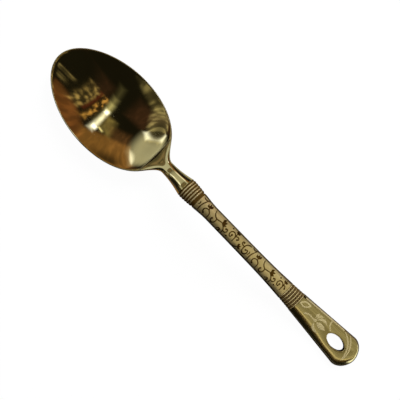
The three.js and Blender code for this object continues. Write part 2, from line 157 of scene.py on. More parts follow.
measured_at = (BOWL_WIDEST_AT, WAIST_AT, GRIP_MIDDLE, TAIL_AT)
print("half widths:", [round(float(half_width(s)), 2) for s in measured_at])

# %% The seam line from the side, and the depths off it
RIM_HEIGHT = float(soft_positive(BOWL_DEPTH, CREASE_ROUND)) + FLOOR_WALL / 2
TIP_RISE, CREASE_RISE, WAIST_RISE, SHOULDER_RISE, ARCH_RISE, BAND_FALL = 1.3, 0.6, 1.1, 6.2, 9.2, 3.0
NECK_FRONT, SHOULDER_FRONT, GRIP_FRONT, BAND_FRONT = 2.7, 4.7, 4.0, 3.5
NECK_BACK, SHOULDER_BACK, GRIP_BACK, BAND_BACK = 2.9, 4.2, 3.4, 3.1
TAIL_DEPTH = 2.5
level_tail = (TAIL_REST_AT, TAIL_DEPTH), (END_AT, TAIL_DEPTH)
seam_height = smooth_through(
    (0, RIM_HEIGHT + TIP_RISE), (BOWL_WIDEST_AT, RIM_HEIGHT), (HOLLOW_END, RIM_HEIGHT + CREASE_RISE),
    (WAIST_AT, RIM_HEIGHT + WAIST_RISE), (SHOULDER_AT, RIM_HEIGHT + SHOULDER_RISE),
    (ARCH_AT, RIM_HEIGHT + ARCH_RISE), (BAND_AT, RIM_HEIGHT - BAND_FALL), *level_tail,
)
handle_front = smooth_through(
    (SHOULDER_AT, SHOULDER_FRONT), (GRIP_MIDDLE, GRIP_FRONT), (BAND_AT, BAND_FRONT), *level_tail,
)
back_depth = smooth_through(
    (WAIST_AT, NECK_BACK), (SHOULDER_AT, SHOULDER_BACK), (GRIP_MIDDLE, GRIP_BACK), (BAND_AT, BAND_BACK),
    *level_tail,
)


def front_depth(s):
    return np.where(s < SHOULDER_AT, mix(NECK_FRONT, SHOULDER_FRONT, neck_flare(s)), handle_front(s))


def seam_angle(s, step=0.05):
    return np.arctan2(seam_height(s + step) - seam_height(s - step), 2 * step)


def off_seam(s, y, n, angle, sink=0.0):
    """Points in metres at height n above the seam line, square to it."""
    x = s - END_AT / 2 - n * np.sin(angle)
    z = seam_height(s) - sink + n * np.cos(angle)
    return np.stack(np.broadcast_arrays(x, y, z), axis=-1) * MM


print("top of the arch at", round(float(seam_height(ARCH_AT) + front_depth(ARCH_AT)), 2), "mm")

# %% Cross-sections of the handle: v runs from -1 at one edge to 1 at the other
DOME_POWER, BACK_FLAT = 2.6, 0.5


def dome(v):
    return np.sqrt(np.maximum(0, 1 - np.abs(v) ** DOME_POWER))


def flat_back(v):
    corner = np.maximum(0, np.abs(v) - BACK_FLAT) / (1 - BACK_FLAT)
    return np.sqrt(np.maximum(0, 1 - corner**2))


def edge_share(s, v):
    """0 on the centre line and 1 at the edge, which runs round the nose of the tail."""
    past = np.clip((s - TAIL_WIDEST_AT) / TAIL_NOSE, 0, 1)
    across = np.abs(v) * half_width(s) / (TAIL_WIDTH / 2)
    return np.where(past > 0, np.minimum(1, (across**NOSE_POINT + past**2) ** (1 / NOSE_POINT)), np.abs(v))


def handle_skin(s, v, side, wider=0.0, deeper=0.0):
    edge = edge_share(s, v)
    front = (front_depth(s) + deeper) * dome(edge)
    back = -(back_depth(s) + deeper) * flat_back(edge)
    return off_seam(s, v * (half_width(s) + wider), np.where(side >= 0, front, back), seam_angle(s))


# %% [markdown]
# ## Model straight, then bend
# A curved handle is awkward to model where it lies. A smith makes each collar straight and then fits it to
# the handle, and the same works here: a piece starts from a primitive, is shaped straight or flat by
# operators, and one helper then moves each of its points to its place on the spoon. A Curve or Lattice
# modifier could bend it too, but neither follows an oval section that changes along the handle.


# %% Helpers that choose, bend and finish a piece
def clear_selection():
    bpy.ops.object.select_all(action="DESELECT")


def points_of(piece):
    flat = np.empty(len(piece.data.vertices) * 3, np.float32)
    piece.data.vertices.foreach_get("co", flat)
    return flat.reshape(-1, 3).astype(float)


def bend(piece, rule):
    """Moves each point (x, y, z) of a straight piece, in mm, to where the rule puts it, in metres."""
    placed = rule(*points_of(piece).T)
    piece.data.vertices.foreach_set("co", placed.astype(np.float32).ravel())
    piece.data.update()


def choose(piece):
    clear_selection()
    piece.select_set(True)
    bpy.context.view_layer.objects.active = piece


def finish_mesh(piece, merge_mm=0.0, sharp_from=32):
    """Merges doubled points if asked, and smooths all but the sharp edges."""
    choose(piece)
    if merge_mm:
        bpy.ops.object.mode_set(mode="EDIT")
        bpy.ops.mesh.select_all(action="SELECT")
        bpy.ops.mesh.remove_doubles(threshold=merge_mm * MM)
        bpy.ops.object.mode_set(mode="OBJECT")
    bpy.ops.object.shade_smooth_by_angle(angle=math.radians(sharp_from))
    print(piece.name, "has", len(piece.data.polygons), "faces")


def apply_modifier(piece, kind, **settings):
    choose(piece)
    modifier = piece.modifiers.new(kind.lower(), kind)
    for name, value in settings.items():
        setattr(modifier, name, value)
    bpy.ops.object.modifier_apply(modifier=modifier.name)


# %% Helpers that join pieces, mark their dull places and settle them on the spoon
def join(pieces, name):
    clear_selection()
    for piece in pieces:
        piece.select_set(True)
    bpy.context.view_layer.objects.active = pieces[0]
    bpy.ops.object.join()
    pieces[0].name = pieces[0].data.name = name
    return pieces[0]


def note(piece, name, share):
    """Keeps a share from 0 to 1 at each point, for the finish to use."""
    kept = piece.data.attributes.new(name, "FLOAT", "POINT")
    kept.data.foreach_set("value", np.clip(share, 0, 1).astype(np.float32))


def settle(piece, *nodes, slot):
    """The piece rides on the spoon and stands for its CAD nodes."""
    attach(piece, "root")
    if nodes:
        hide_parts(*nodes)


# %% [markdown]
# ## Bowl, neck and tang
# On the real spoon this is one forging: a bar is drawn out to the tang and its end is struck into a die.
# The bowl is a shell that curves both ways, with a rounded rim, a crease at the heel and a neck that opens
# into a shoulder. Extruding rings gives flat dishes, and sculpting has no sizes. A UV sphere has just the
# rings that a spoon needs, from one pole at the tip to the other at the end of the tang, so it is added
# once and each ring is laid on the spoon's lines.


# %% The bowl's wall
HOLLOW_POWER, CROSS_FULLNESS, CREASE_FALL, LEVEL_LIMIT = 6, 0.05, 2, 1.4
NECK_LEAD = 3


def hollow(s, y):
    """How far the wall sinks below the rim line, and its level from 0 at the floor to 1 at the rim."""
    along = np.minimum(LEVEL_LIMIT, oval_level(s))
    w = 2 * y / BOWL_WIDTH
    dish = 1 - along - w**2 - CROSS_FULLNESS * (along - along**2 - w**2 + w**4)
    to_crease = np.maximum(0, s - BOWL_WIDEST_AT) / (HOLLOW_END - BOWL_WIDEST_AT)
    inside = np.maximum(0, dish) * np.maximum(0, 1 - to_crease**HOLLOW_POWER)
    outside = np.maximum(0, -dish) + CREASE_FALL * np.maximum(0, to_crease - 1)
    return soft_positive(BOWL_DEPTH * (inside - outside), CREASE_ROUND), 1 - inside


def wall_half(s, y, step=0.05):
    along = (hollow(s + step, y)[0] - hollow(s - step, y)[0]) / (2 * step)
    across = (hollow(s, y + step)[0] - hollow(s, y - step)[0]) / (2 * step)
    return mix(FLOOR_WALL, RIM_WALL, hollow(s, y)[1]) / 2 * np.sqrt(1 + along**2 + across**2)


def rim_round(s, v, step=0.05):
    slope = (half_width(s + step) - half_width(np.maximum(0, s - step))) / (2 * step)
    in_from_edge = half_width(s) * (1 - v * v) / (2 * np.hypot(1, slope))
    u = np.minimum(1, in_from_edge / RIM_ROUND)
    return np.sqrt(u * (2 - u))


def head_point(s, v, side, inset=0.0):
    y = v * (half_width(s) - inset)
    neck_from = HOLLOW_END - NECK_LEAD
    neck = ease((s - neck_from) / (WAIST_AT - neck_from))
    depth = mix(wall_half(s, y), np.where(side > 0, front_depth(s), back_depth(s)) - inset, neck)
    roundness = mix(rim_round(s, v), np.where(side > 0, dome(v), flat_back(v)), neck)
    return off_seam(s, y, side * depth * roundness, seam_angle(s) * neck, hollow(s, y)[0])


# %% Rings of the sphere, laid on the spoon
SHOULDER_CHAMFER, FINE_RINGS_AT = 0.2, 68
TIP_RINGS, HOLLOW_RINGS, HEEL_RINGS, NECK_RINGS, TANG_RINGS, ROUND = 64, 44, 70, 40, 24, 224
tip_turn = np.linspace(0, np.pi / 2, TIP_RINGS + 1)[1:]
head_rings = np.concatenate([
    BOWL_WIDEST_AT * (1 - np.cos(tip_turn)),
    np.linspace(BOWL_WIDEST_AT, FINE_RINGS_AT, HOLLOW_RINGS + 1)[1:],
    np.linspace(FINE_RINGS_AT, WAIST_AT, HEEL_RINGS + 1)[1:],
    np.linspace(WAIST_AT, SHOULDER_AT - SHOULDER_CHAMFER, NECK_RINGS + 1)[1:],
])
tang_rings = np.linspace(SHOULDER_AT, TANG_END, TANG_RINGS)
ring_stations = np.concatenate([[0], head_rings, [SHOULDER_AT], tang_rings, [TANG_END]])
last_head_ring = len(head_rings) + 1
last_ring = len(ring_stations) - 1


def lay_head(x, y, z):
    ring = np.rint(np.arccos(np.clip(-z, -1, 1)) / np.pi * last_ring).astype(int)
    s, turn = ring_stations[ring], np.arctan2(y, x)
    across, up = np.cos(turn), np.sin(turn)
    inset = np.where(ring == last_head_ring, SHOULDER_CHAMFER, 0)
    head = head_point(s, across, np.where(up >= 0, 1, -1), inset)
    to_square = np.where(ring == last_ring, 0, 0.5 / np.maximum(np.abs(across), np.abs(up)))
    tang = off_seam(s, TANG_WIDTH * to_square * across, TANG_DEPTH * to_square * up, seam_angle(s))
    return np.where((ring > last_head_ring)[:, None], tang, head)


clear_selection()
bpy.ops.mesh.primitive_uv_sphere_add(segments=ROUND, ring_count=last_ring, radius=1)
bowl = bpy.context.object
bowl.name = bowl.data.name = "polished_bowl"
bend(bowl, lay_head)
finish_mesh(bowl)

# %% Where the polish is dull in the crease, and painted shade along the edge
RIM_SHADE, NECK_SHADE, CREASE_HAZE = 0.5, 0.6, 1.2
x, y, z = points_of(bowl).T / MM
from_tip = x + END_AT / 2
note(bowl, "haze", 1 - np.abs(from_tip - HOLLOW_END) / CREASE_HAZE)
in_from_edge = half_width(np.clip(from_tip, 0, SHOULDER_AT)) - np.abs(y)
to_neck = ease((from_tip - HOLLOW_END) / (WAIST_AT - HOLLOW_END))
# Painted shade along the edge of the bowl and the neck, wider towards the neck.
note(bowl, "tarnish_shade_share", 1 - in_from_edge / mix(RIM_SHADE, NECK_SHADE, to_neck))
settle(bowl, "bowl_and_tang", slot="polished_brass")

# %% [markdown]
# ## Beaded ferrule
# The collar behind the shoulder is turned on a lathe: five round beads, a groove and a plain lip, and a
# spigot that goes into the grip. Spinning a profile would do, but extruding a ring and scaling it, step by
# step, keeps the rings in order and is how it would be done by hand. It is made straight, on a round bar,
# and then fitted to the oval handle.

# %% A straight collar, extruded ring by ring
BAR_RADIUS, COLLAR_SIDES = 6.0, 112
FACING_X = (0, math.pi / 2, 0)


def straight_collar(name, profile):
    """A closed tube through (station, height off the handle's skin) points, on a round bar along X."""
    clear_selection()
    (first, outside), *rest = profile
    bpy.ops.mesh.primitive_circle_add(
        vertices=COLLAR_SIDES, radius=BAR_RADIUS + outside, location=(first, 0, 0), rotation=FACING_X)
    piece = bpy.context.object
    bpy.ops.object.transform_apply(location=True, rotation=True, scale=True)
    piece.name = piece.data.name = name
    bpy.ops.object.mode_set(mode="EDIT")
    for station, height in rest:
        scale = (BAR_RADIUS + height) / (BAR_RADIUS + outside)
        bpy.ops.mesh.extrude_region_move(TRANSFORM_OT_translate={"value": (station - first, 0, 0)})
        bpy.ops.transform.resize(value=(1, scale, scale))
        first, outside = station, height
    bpy.ops.mesh.select_all(action="SELECT")
    bpy.ops.mesh.select_non_manifold(
        extend=False, use_multi_face=False, use_non_contiguous=False, use_verts=False)
    bpy.ops.mesh.bridge_edge_loops()
    bpy.ops.mesh.select_all(action="SELECT")
    bpy.ops.mesh.normals_make_consistent(inside=False)
    bpy.ops.object.mode_set(mode="OBJECT")
    return piece


# %% Fitting a collar to the handle, and painted shade on its sides
SIDES_SHADED_FROM = 0.78


def round_the_handle(x, y, z):
    radius = np.hypot(y, z)
    return handle_skin(x, y / radius, np.sign(z), radius - BAR_RADIUS, radius - BAR_RADIUS)


def below_skin(y, z):
    """How deep a point of a straight collar lies under the skin of the handle."""
    return BAR_RADIUS - np.hypot(y, z)


def side_shade_share(y, z):
    """0 on the front and the back of a straight collar, rising to 1 at its sides, which get painted shade."""
    return (np.abs(y) / np.hypot(y, z) - SIDES_SHADED_FROM) / (1 - SIDES_SHADED_FROM)


# %% Turn the ferrule
BEADS, BEAD_DEPTH, BEAD_STEPS, BEAD_CUT = 5, 0.5, 11, 0.06
FERRULE_GROOVE, LIP_GROOVE, FERRULE_LIP = 0.35, 0.8, 0.9
LIP_TOP, LIP_EDGE, LIP_FOOT, LIP_BEVEL, FOOT_RUN = -0.1, -0.2, -0.25, 0.15, 0.2
SPIGOT_LENGTH, FERRULE_BORE = 5.0, -2.5
SPIGOT = -SHELL_WALL - SEAM_GAP
ferrule_from, ferrule_to = SHOULDER_AT + SEAM_GAP, GRIP_AT
first_bead, lip_from = ferrule_from + FERRULE_GROOVE, ferrule_to - FERRULE_LIP
bead_pitch = (lip_from - LIP_GROOVE - first_bead) / BEADS

ferrule_profile = [(ferrule_from, -BEAD_DEPTH)]
for bead in range(BEADS):
    middle = first_bead + bead_pitch * (bead + 0.5)
    for turn in np.linspace(BEAD_CUT, 1 - BEAD_CUT, BEAD_STEPS) * np.pi:
        ferrule_profile.append((middle - bead_pitch / 2 * np.cos(turn), BEAD_DEPTH * (np.sin(turn) - 1)))
ferrule_profile += [
    (lip_from - LIP_GROOVE + LIP_BEVEL, -BEAD_DEPTH), (lip_from - FOOT_RUN, -BEAD_DEPTH),
    (lip_from, LIP_FOOT), (lip_from + LIP_BEVEL, LIP_TOP), (ferrule_to - LIP_BEVEL, LIP_TOP),
    (ferrule_to, LIP_EDGE), (ferrule_to, SPIGOT), (ferrule_to + SPIGOT_LENGTH, SPIGOT),
    (ferrule_to + SPIGOT_LENGTH, FERRULE_BORE), (ferrule_from, FERRULE_BORE),
]
ferrule = straight_collar("beaded_ferrule", ferrule_profile)
x, y, z = points_of(ferrule).T
# Tarnish and painted shade darken a groove almost up to the crown of the bead, so the share rises fast at
# first. The sides get painted shade.
sunk = np.clip(below_skin(y, z) / BEAD_DEPTH, 0, 1)
note(ferrule, "tarnish_shade_share", np.maximum(np.sqrt(1 - (1 - sunk) ** 2), side_shade_share(y, z)))
bend(ferrule, round_the_handle)
finish_mesh(ferrule, sharp_from=50)
settle(ferrule, "ribbed_ferrule", slot="aged_brass")

# %% [markdown]
# ## Grip in two shells
# The grip is hollow: a front and a back half are pressed from sheet and brazed along the sides, and resin
# round the tang fills it. Each half starts as a flat sheet, a grid, which is laid on the handle's skin and
# then given the thickness of the sheet with Solidify. The sheet runs across in X and along in Y, so that
# its UV map carries the direction across the handle to the finish.

# %% Sheets laid on the handle
SEAM_TURN, ETCH_STEP = 0.011, 0.06


def no_opening(s):
    return np.zeros(len(s))


def sheet_on_handle(name, side, stations, columns, opening=no_opening):
    """A sheet with a slit along its middle, which the opening spreads; elsewhere the slit stays shut."""
    rows = len(stations) - 1
    clear_selection()
    bpy.ops.mesh.primitive_grid_add(x_subdivisions=columns, y_subdivisions=rows, size=2)
    piece = bpy.context.object
    piece.name = piece.data.name = name

    def lay(x, y, z):
        s = stations[np.rint((y + 1) / 2 * rows).astype(int)]
        from_slit = (np.abs(x) * columns - 1) / (columns - 1)
        slit = opening(s) / np.maximum(half_width(s), SEAM_GAP)
        v = -side * np.sign(x) * mix(slit, 1, np.sin(from_slit * (np.pi / 2 - SEAM_TURN)))
        return handle_skin(s, v, np.full(len(x), side), deeper=-ETCH_STEP)

    bend(piece, lay)
    return piece


# %% A wall pressed from a sheet, its dark seams and painted shade on its flanks
SLIT_REACH, SLIT_MERGE = 0.001, 0.002


def press_wall(piece):
    """Shuts the slit, clears its opening and gives the sheet its thickness."""
    finish_mesh(piece, merge_mm=SLIT_MERGE)
    bpy.ops.object.mode_set(mode="EDIT")
    bpy.ops.mesh.select_mode(type="FACE")
    bpy.ops.mesh.select_all(action="DESELECT")
    bpy.ops.object.mode_set(mode="OBJECT")
    for face in piece.data.polygons:
        face.select = abs(face.center.y) < SLIT_REACH * MM
    bpy.ops.object.mode_set(mode="EDIT")
    bpy.ops.mesh.delete(type="FACE")
    bpy.ops.mesh.select_mode(type="VERT")
    bpy.ops.object.mode_set(mode="OBJECT")
    wall = (SHELL_WALL - ETCH_STEP) * MM
    apply_modifier(piece, "SOLIDIFY", thickness=wall, offset=-1, use_even_offset=False)
    finish_mesh(piece, sharp_from=50)


def note_seam_and_shade(piece, seam_and_shade_from):
    """Darkens the side seams, and paints shade on the flanks that lead to them."""
    x, y, z = points_of(piece).T / MM
    s = np.clip(x + END_AT / 2, SHOULDER_AT, END_AT)
    edge = edge_share(s, y / np.maximum(half_width(s), SEAM_GAP))
    note(piece, "tarnish_shade_share", (edge - seam_and_shade_from) / (1 - seam_and_shade_from))


# %% Press the grip
SIDES = {"front": 1, "back": -1}
GRIP_ROWS, GRIP_COLUMNS, GRIP_SEAM_AND_SHADE_FROM = 150, 57, 0.5
grip_stations = np.linspace(GRIP_AT + SEAM_GAP, BAND_AT, GRIP_ROWS + 1)
grip_shells = {}
for part, side in SIDES.items():
    shell = sheet_on_handle(f"satin_grip_{part}", side, grip_stations, GRIP_COLUMNS)
    press_wall(shell)
    note_seam_and_shade(shell, GRIP_SEAM_AND_SHADE_FROM)
    settle(shell, f"grip_{part}_shell", slot="etched_brass")
    grip_shells[part] = shell

# %% [markdown]
# ## Tail in two shells, and its eyelet
# The tail flares and ends in a blunt nose, and an oval eyelet lines the hole that the spoon hangs by. The
# shells are laid like those of the grip, with rows that crowd together at the nose and at both ends of the
# hole. A Boolean could punch the hole, but it leaves long thin faces that show in a polish, so the slit
# along the middle of the sheet is spread to an oval instead, as a smith drifts a hole open. The eyelet is a
# flat oval ring, drawn up into a tube, rounded at both lips and set to the height of the skin.

# %% Press the tail and open its hole
HOLE_CLEARANCE, NOSE_CLEARANCE = 0.02, 0.02
TAIL_SEAM_AND_SHADE_FROM, TAIL_HAZE = 0.8, 0.25
TAIL_ROWS, HOLE_ROWS, NOSE_ROWS, TAIL_COLUMNS = 65, 60, 36, 73
opening_length = HOLE_LENGTH / 2 + EYELET_WALL + HOLE_CLEARANCE
opening_width = HOLE_WIDTH / 2 + EYELET_WALL + HOLE_CLEARANCE


def oval_opening(s):
    return opening_width * np.sqrt(np.maximum(0, 1 - ((s - HOLE_AT) / opening_length) ** 2))


hole_end = HOLE_AT + opening_length
tail_stations = np.concatenate([
    np.linspace(TAIL_AT + SEAM_GAP, HOLE_AT - opening_length, TAIL_ROWS + 1)[:-1],
    HOLE_AT - opening_length * np.cos(np.linspace(0, np.pi, HOLE_ROWS + 1)),
    mix(hole_end, END_AT - NOSE_CLEARANCE, np.sin(np.linspace(0, np.pi / 2, NOSE_ROWS + 1)[1:])),
])
tail_shells = {}
for part, side in SIDES.items():
    shell = sheet_on_handle(f"polished_tail_{part}", side, tail_stations, TAIL_COLUMNS, oval_opening)
    press_wall(shell)
    note_seam_and_shade(shell, TAIL_SEAM_AND_SHADE_FROM)
    note(shell, "haze", np.full(len(shell.data.vertices), TAIL_HAZE))
    settle(shell, f"tail_{part}_shell", slot="polished_brass")
    tail_shells[part] = shell

# %% Draw the eyelet
EYELET_SIDES, EYELET_ROUND, DARK_FROM_LIP = 128, 0.3, 1.2


def set_eyelet_height(x, y, z):
    """x and y are in mm from the middle of the hole; z runs from 0 at the back to 1 at the front."""
    s = HOLE_AT + x
    v = y / half_width(s)
    front = handle_skin(s, v, np.ones(len(x)), deeper=-ETCH_STEP)[:, 2]
    back = handle_skin(s, v, -np.ones(len(x)), deeper=-ETCH_STEP)[:, 2]
    return np.stack([(s - END_AT / 2) * MM, y * MM, mix(back, front, z)], axis=-1)


clear_selection()
bpy.ops.mesh.primitive_circle_add(vertices=EYELET_SIDES, radius=1)
eyelet = bpy.context.object
eyelet.name = eyelet.data.name = "hanging_eyelet_ring"
eyelet.scale = (HOLE_LENGTH / 2 + EYELET_WALL, HOLE_WIDTH / 2 + EYELET_WALL, 1)
bpy.ops.object.transform_apply(location=True, rotation=True, scale=True)
bpy.ops.object.mode_set(mode="EDIT")
bpy.ops.mesh.extrude_region_move(TRANSFORM_OT_translate={"value": (0, 0, 1)})
bpy.ops.mesh.select_all(action="SELECT")
bpy.ops.mesh.normals_make_consistent(inside=False)
bpy.ops.object.mode_set(mode="OBJECT")
apply_modifier(eyelet, "SOLIDIFY", thickness=EYELET_WALL, offset=-1)
bend(eyelet, set_eyelet_height)
apply_modifier(
    eyelet, "BEVEL", width=EYELET_ROUND * MM, segments=5, limit_method="ANGLE", angle_limit=math.radians(60))
finish_mesh(eyelet, sharp_from=60)
# Painted shade inside the hole: the eyelet's wall darkens away from both lips.
x, y, z = points_of(eyelet).T / MM
lips = [set_eyelet_height(x + END_AT / 2 - HOLE_AT, y, np.full(len(x), lip))[:, 2] / MM for lip in (0.0, 1.0)]
note(eyelet, "tarnish_shade_share", np.minimum(z - lips[0], lips[1] - z) / DARK_FROM_LIP)
settle(eyelet, "hanging_eyelet", slot="polished_brass")

# %% [markdown]
# ## Studded band
# Between grip and tail sits a collar with five rows of small square studs between six thin wires. A
# milling cut could be modelled stud by stud, but one stud is enough: it is shaped once from a cube, copied
# round the band at even distances along the skin, and the copies are joined with the sleeve and the wires.

# %% Sleeve and wires
STUD_ROWS, STUDS_ROUND, STUD_DEPTH, BAND_LIP = 5, 18, 0.42, 0.5
WIRE_RADIUS, WIRE_SIDES = 0.28, 12
SLEEVE_EDGE, SLEEVE_LIP, SLEEVE_STEP, SLEEVE_BORE = -0.2, -0.12, 0.1, -1.5
band_from, band_to = BAND_AT + SEAM_GAP, TAIL_AT
row_pitch = (band_to - band_from - 2 * BAND_LIP) / STUD_ROWS
wire_places = [band_from + BAND_LIP + row_pitch * i for i in range(STUD_ROWS + 1)]
sleeve = straight_collar("studded_band", [
    (band_from, SLEEVE_EDGE), (band_from + SLEEVE_STEP, SLEEVE_LIP),
    (band_from + 2 * SLEEVE_STEP, -STUD_DEPTH), (band_to - 2 * SLEEVE_STEP, -STUD_DEPTH),
    (band_to - SLEEVE_STEP, SLEEVE_LIP), (band_to, SLEEVE_EDGE), (band_to, SPIGOT),
    (band_to + SPIGOT_LENGTH, SPIGOT), (band_to + SPIGOT_LENGTH, SLEEVE_BORE),
    (band_from - SPIGOT_LENGTH, SLEEVE_BORE), (band_from - SPIGOT_LENGTH, SPIGOT), (band_from, SPIGOT),
])
wires = []
for place in wire_places:
    clear_selection()
    bpy.ops.mesh.primitive_torus_add(
        major_segments=COLLAR_SIDES, minor_segments=WIRE_SIDES, location=(place, 0, 0), rotation=FACING_X,
        major_radius=BAR_RADIUS - WIRE_RADIUS, minor_radius=WIRE_RADIUS)
    bpy.ops.object.transform_apply(location=True, rotation=True, scale=True)
    wires.append(bpy.context.object)
# Tarnish and painted shade darken the sleeve under the skin and each wire below its middle; the sleeve's
# sides get painted shade.
for piece in (sleeve, *wires):
    x, y, z = points_of(piece).T
    sunk = below_skin(y, z) / STUD_DEPTH
    dull = np.maximum(sunk, side_shade_share(y, z)) if piece is sleeve else sunk - WIRE_RADIUS / STUD_DEPTH
    note(piece, "tarnish_shade_share", dull)
    bend(piece, round_the_handle)
print("wires round the band:", len(wires))

# %% One stud
STUD_GAP, STUD_SPACE, STUD_BEVEL, UNDER_WIRES, STUD_PAINTED_LIGHT = 0.14, 0.24, 0.12, 0.16, 0.57
SECTION_STEPS = 2000
stud_height = STUD_DEPTH - UNDER_WIRES
turns = np.linspace(0, 2 * np.pi, SECTION_STEPS + 1)
middle_of_band = np.full(len(turns), (band_from + band_to) / 2)
section = handle_skin(middle_of_band, np.cos(turns), np.sin(turns)) / MM
distance_round = np.concatenate([[0], np.cumsum(np.linalg.norm(np.diff(section, axis=0), axis=1))])
stud_pitch = distance_round[-1] / STUDS_ROUND

clear_selection()
bpy.ops.mesh.primitive_cube_add(size=1)
first_stud = bpy.context.object
first_stud.scale = (row_pitch - 2 * (WIRE_RADIUS + STUD_GAP), stud_pitch - STUD_SPACE, 2 * stud_height)
bpy.ops.object.transform_apply(location=True, rotation=True, scale=True)
apply_modifier(first_stud, "BEVEL", width=STUD_BEVEL, segments=3, limit_method="NONE")
print("studs every", round(float(stud_pitch), 2), "mm round the band")


# %% The stud copied round the band
def turn_at(distance):
    return np.interp(distance % distance_round[-1], distance_round, turns)


def strip_round_the_handle(x, y, z):
    """x is a station, y a distance round the band, z a height over the bottom of its grooves."""
    turn = turn_at(y)
    return handle_skin(x, np.cos(turn), np.sin(turn), z - STUD_DEPTH, z - STUD_DEPTH)


studs = []
for row in range(STUD_ROWS):
    for column in range(STUDS_ROUND):
        stud = first_stud.copy()
        stud.data = first_stud.data.copy()
        bpy.context.scene.collection.objects.link(stud)
        shift = np.array([wire_places[row] + row_pitch / 2, (column + 0.5) * stud_pitch, 0])
        placed = points_of(stud) + shift
        stud.data.vertices.foreach_set("co", placed.astype(np.float32).ravel())
        # Tarnish and painted shade darken each stud towards its foot, and painted shade darkens the studs on
        # the sides of the band.
        painted_light, turn = STUD_PAINTED_LIGHT * placed[:, 2] / stud_height, turn_at(placed[:, 1])
        note(stud, "tarnish_shade_share", np.maximum(1 - painted_light, side_shade_share(np.cos(turn), np.sin(turn))))
        bend(stud, strip_round_the_handle)
        studs.append(stud)
bpy.data.objects.remove(first_stud)
band = join([sleeve, *wires, *studs], "studded_band")
finish_mesh(band, sharp_from=40)
settle(band, "notched_band", slot="aged_brass")

# %% [markdown]
# ## Vine scroll on the grip, flower on the tail
# The grip's ground is etched to a satin, and the vine is left standing in it and browned. On the tail it is
# the other way round: the ground is polished and the flower is frosted. Both are line drawings, so they
# are drawn flat as Bezier curves with round pens, made into meshes, pressed thin and laid on the front.
# A texture would be lighter, but lines with a body of their own catch the light and are kept on export.

# %% Pens, for drawings ruled in squares
SQUARE = 0.6
LINE_END, LINE_HEIGHT = 0.75, 0.055


def draw(points, pen, ends=LINE_END):
    """A line through (along, across) squares. Its ends take that share of the pen: fine ends make a petal."""
    clear_selection()
    bpy.ops.curve.primitive_bezier_curve_add()
    line = bpy.context.object
    spline = line.data.splines[0]
    spline.bezier_points.add(len(points) - 2)
    for i, (knot, (along, across)) in enumerate(zip(spline.bezier_points, points)):
        knot.co = (along * SQUARE, across * SQUARE, 0)
        knot.handle_left_type = knot.handle_right_type = "AUTO"
        knot.radius = ends if i in (0, len(points) - 1) else 1
    line.data.dimensions = "3D"
    line.data.bevel_depth = pen
    line.data.bevel_resolution = 2
    line.data.resolution_u = 6
    line.data.use_fill_caps = True
    bpy.ops.object.convert(target="MESH")
    return bpy.context.object


def dot(along, across, radius):
    clear_selection()
    bpy.ops.mesh.primitive_uv_sphere_add(
        segments=20, ring_count=10, radius=radius, location=(along * SQUARE, across * SQUARE, 0))
    bpy.ops.object.transform_apply(location=True, rotation=True, scale=True)
    return bpy.context.object


# %% Buds
PETAL_END, PETAL_PEN, SIDE_PETAL, SIDE_REACH, SIDE_BELLY = 0.12, 0.28, 0.8, 0.5625, 0.4125


def bud(base, tip):
    """Three petals that fan out from the base."""
    base, reach = np.array(base), np.subtract(tip, base)
    aside = np.array([-reach[1], reach[0]])
    petals = []
    for turn in (-1, 0, 1):
        length = SIDE_PETAL if turn else 1.0
        end = base + reach * length + aside * turn * SIDE_REACH
        middle = base + reach * length / 2 + aside * turn * SIDE_BELLY
        petals.append(draw([base, middle, end], PETAL_PEN * SQUARE * np.hypot(*reach), PETAL_END))
    return petals


# %% Laying a drawing on the handle
INSIDE_EDGE = 0.985


def lay_on_front(start, scale):
    """Lays a flat drawing on the front skin: x along from the start, y across, both as seen from above."""
    def lay(x, y, z):
        plan, y = start + x * scale, y * scale
        s = plan
        for _ in range(3):
            n = front_depth(s) * dome(edge_share(s, y / half_width(s)))
            s = plan + n * np.sin(seam_angle(s))
        v = np.clip(y / half_width(s), -INSIDE_EDGE, INSIDE_EDGE)
        return handle_skin(s, v, np.ones(len(x)), deeper=z - ETCH_STEP)
    return lay


def press_drawing(lines, name, start, pen, scale):
    """Joins the lines, presses them as thin as an etched line stands, and lays them on the handle."""
    drawing = join(lines, name)
    drawing.data.transform(((1, 0, 0, 0), (0, 1, 0, 0), (0, 0, LINE_HEIGHT / pen, 0), (0, 0, 0, 1)))
    bend(drawing, lay_on_front(start, scale))
    finish_mesh(drawing, sharp_from=80)
    return drawing


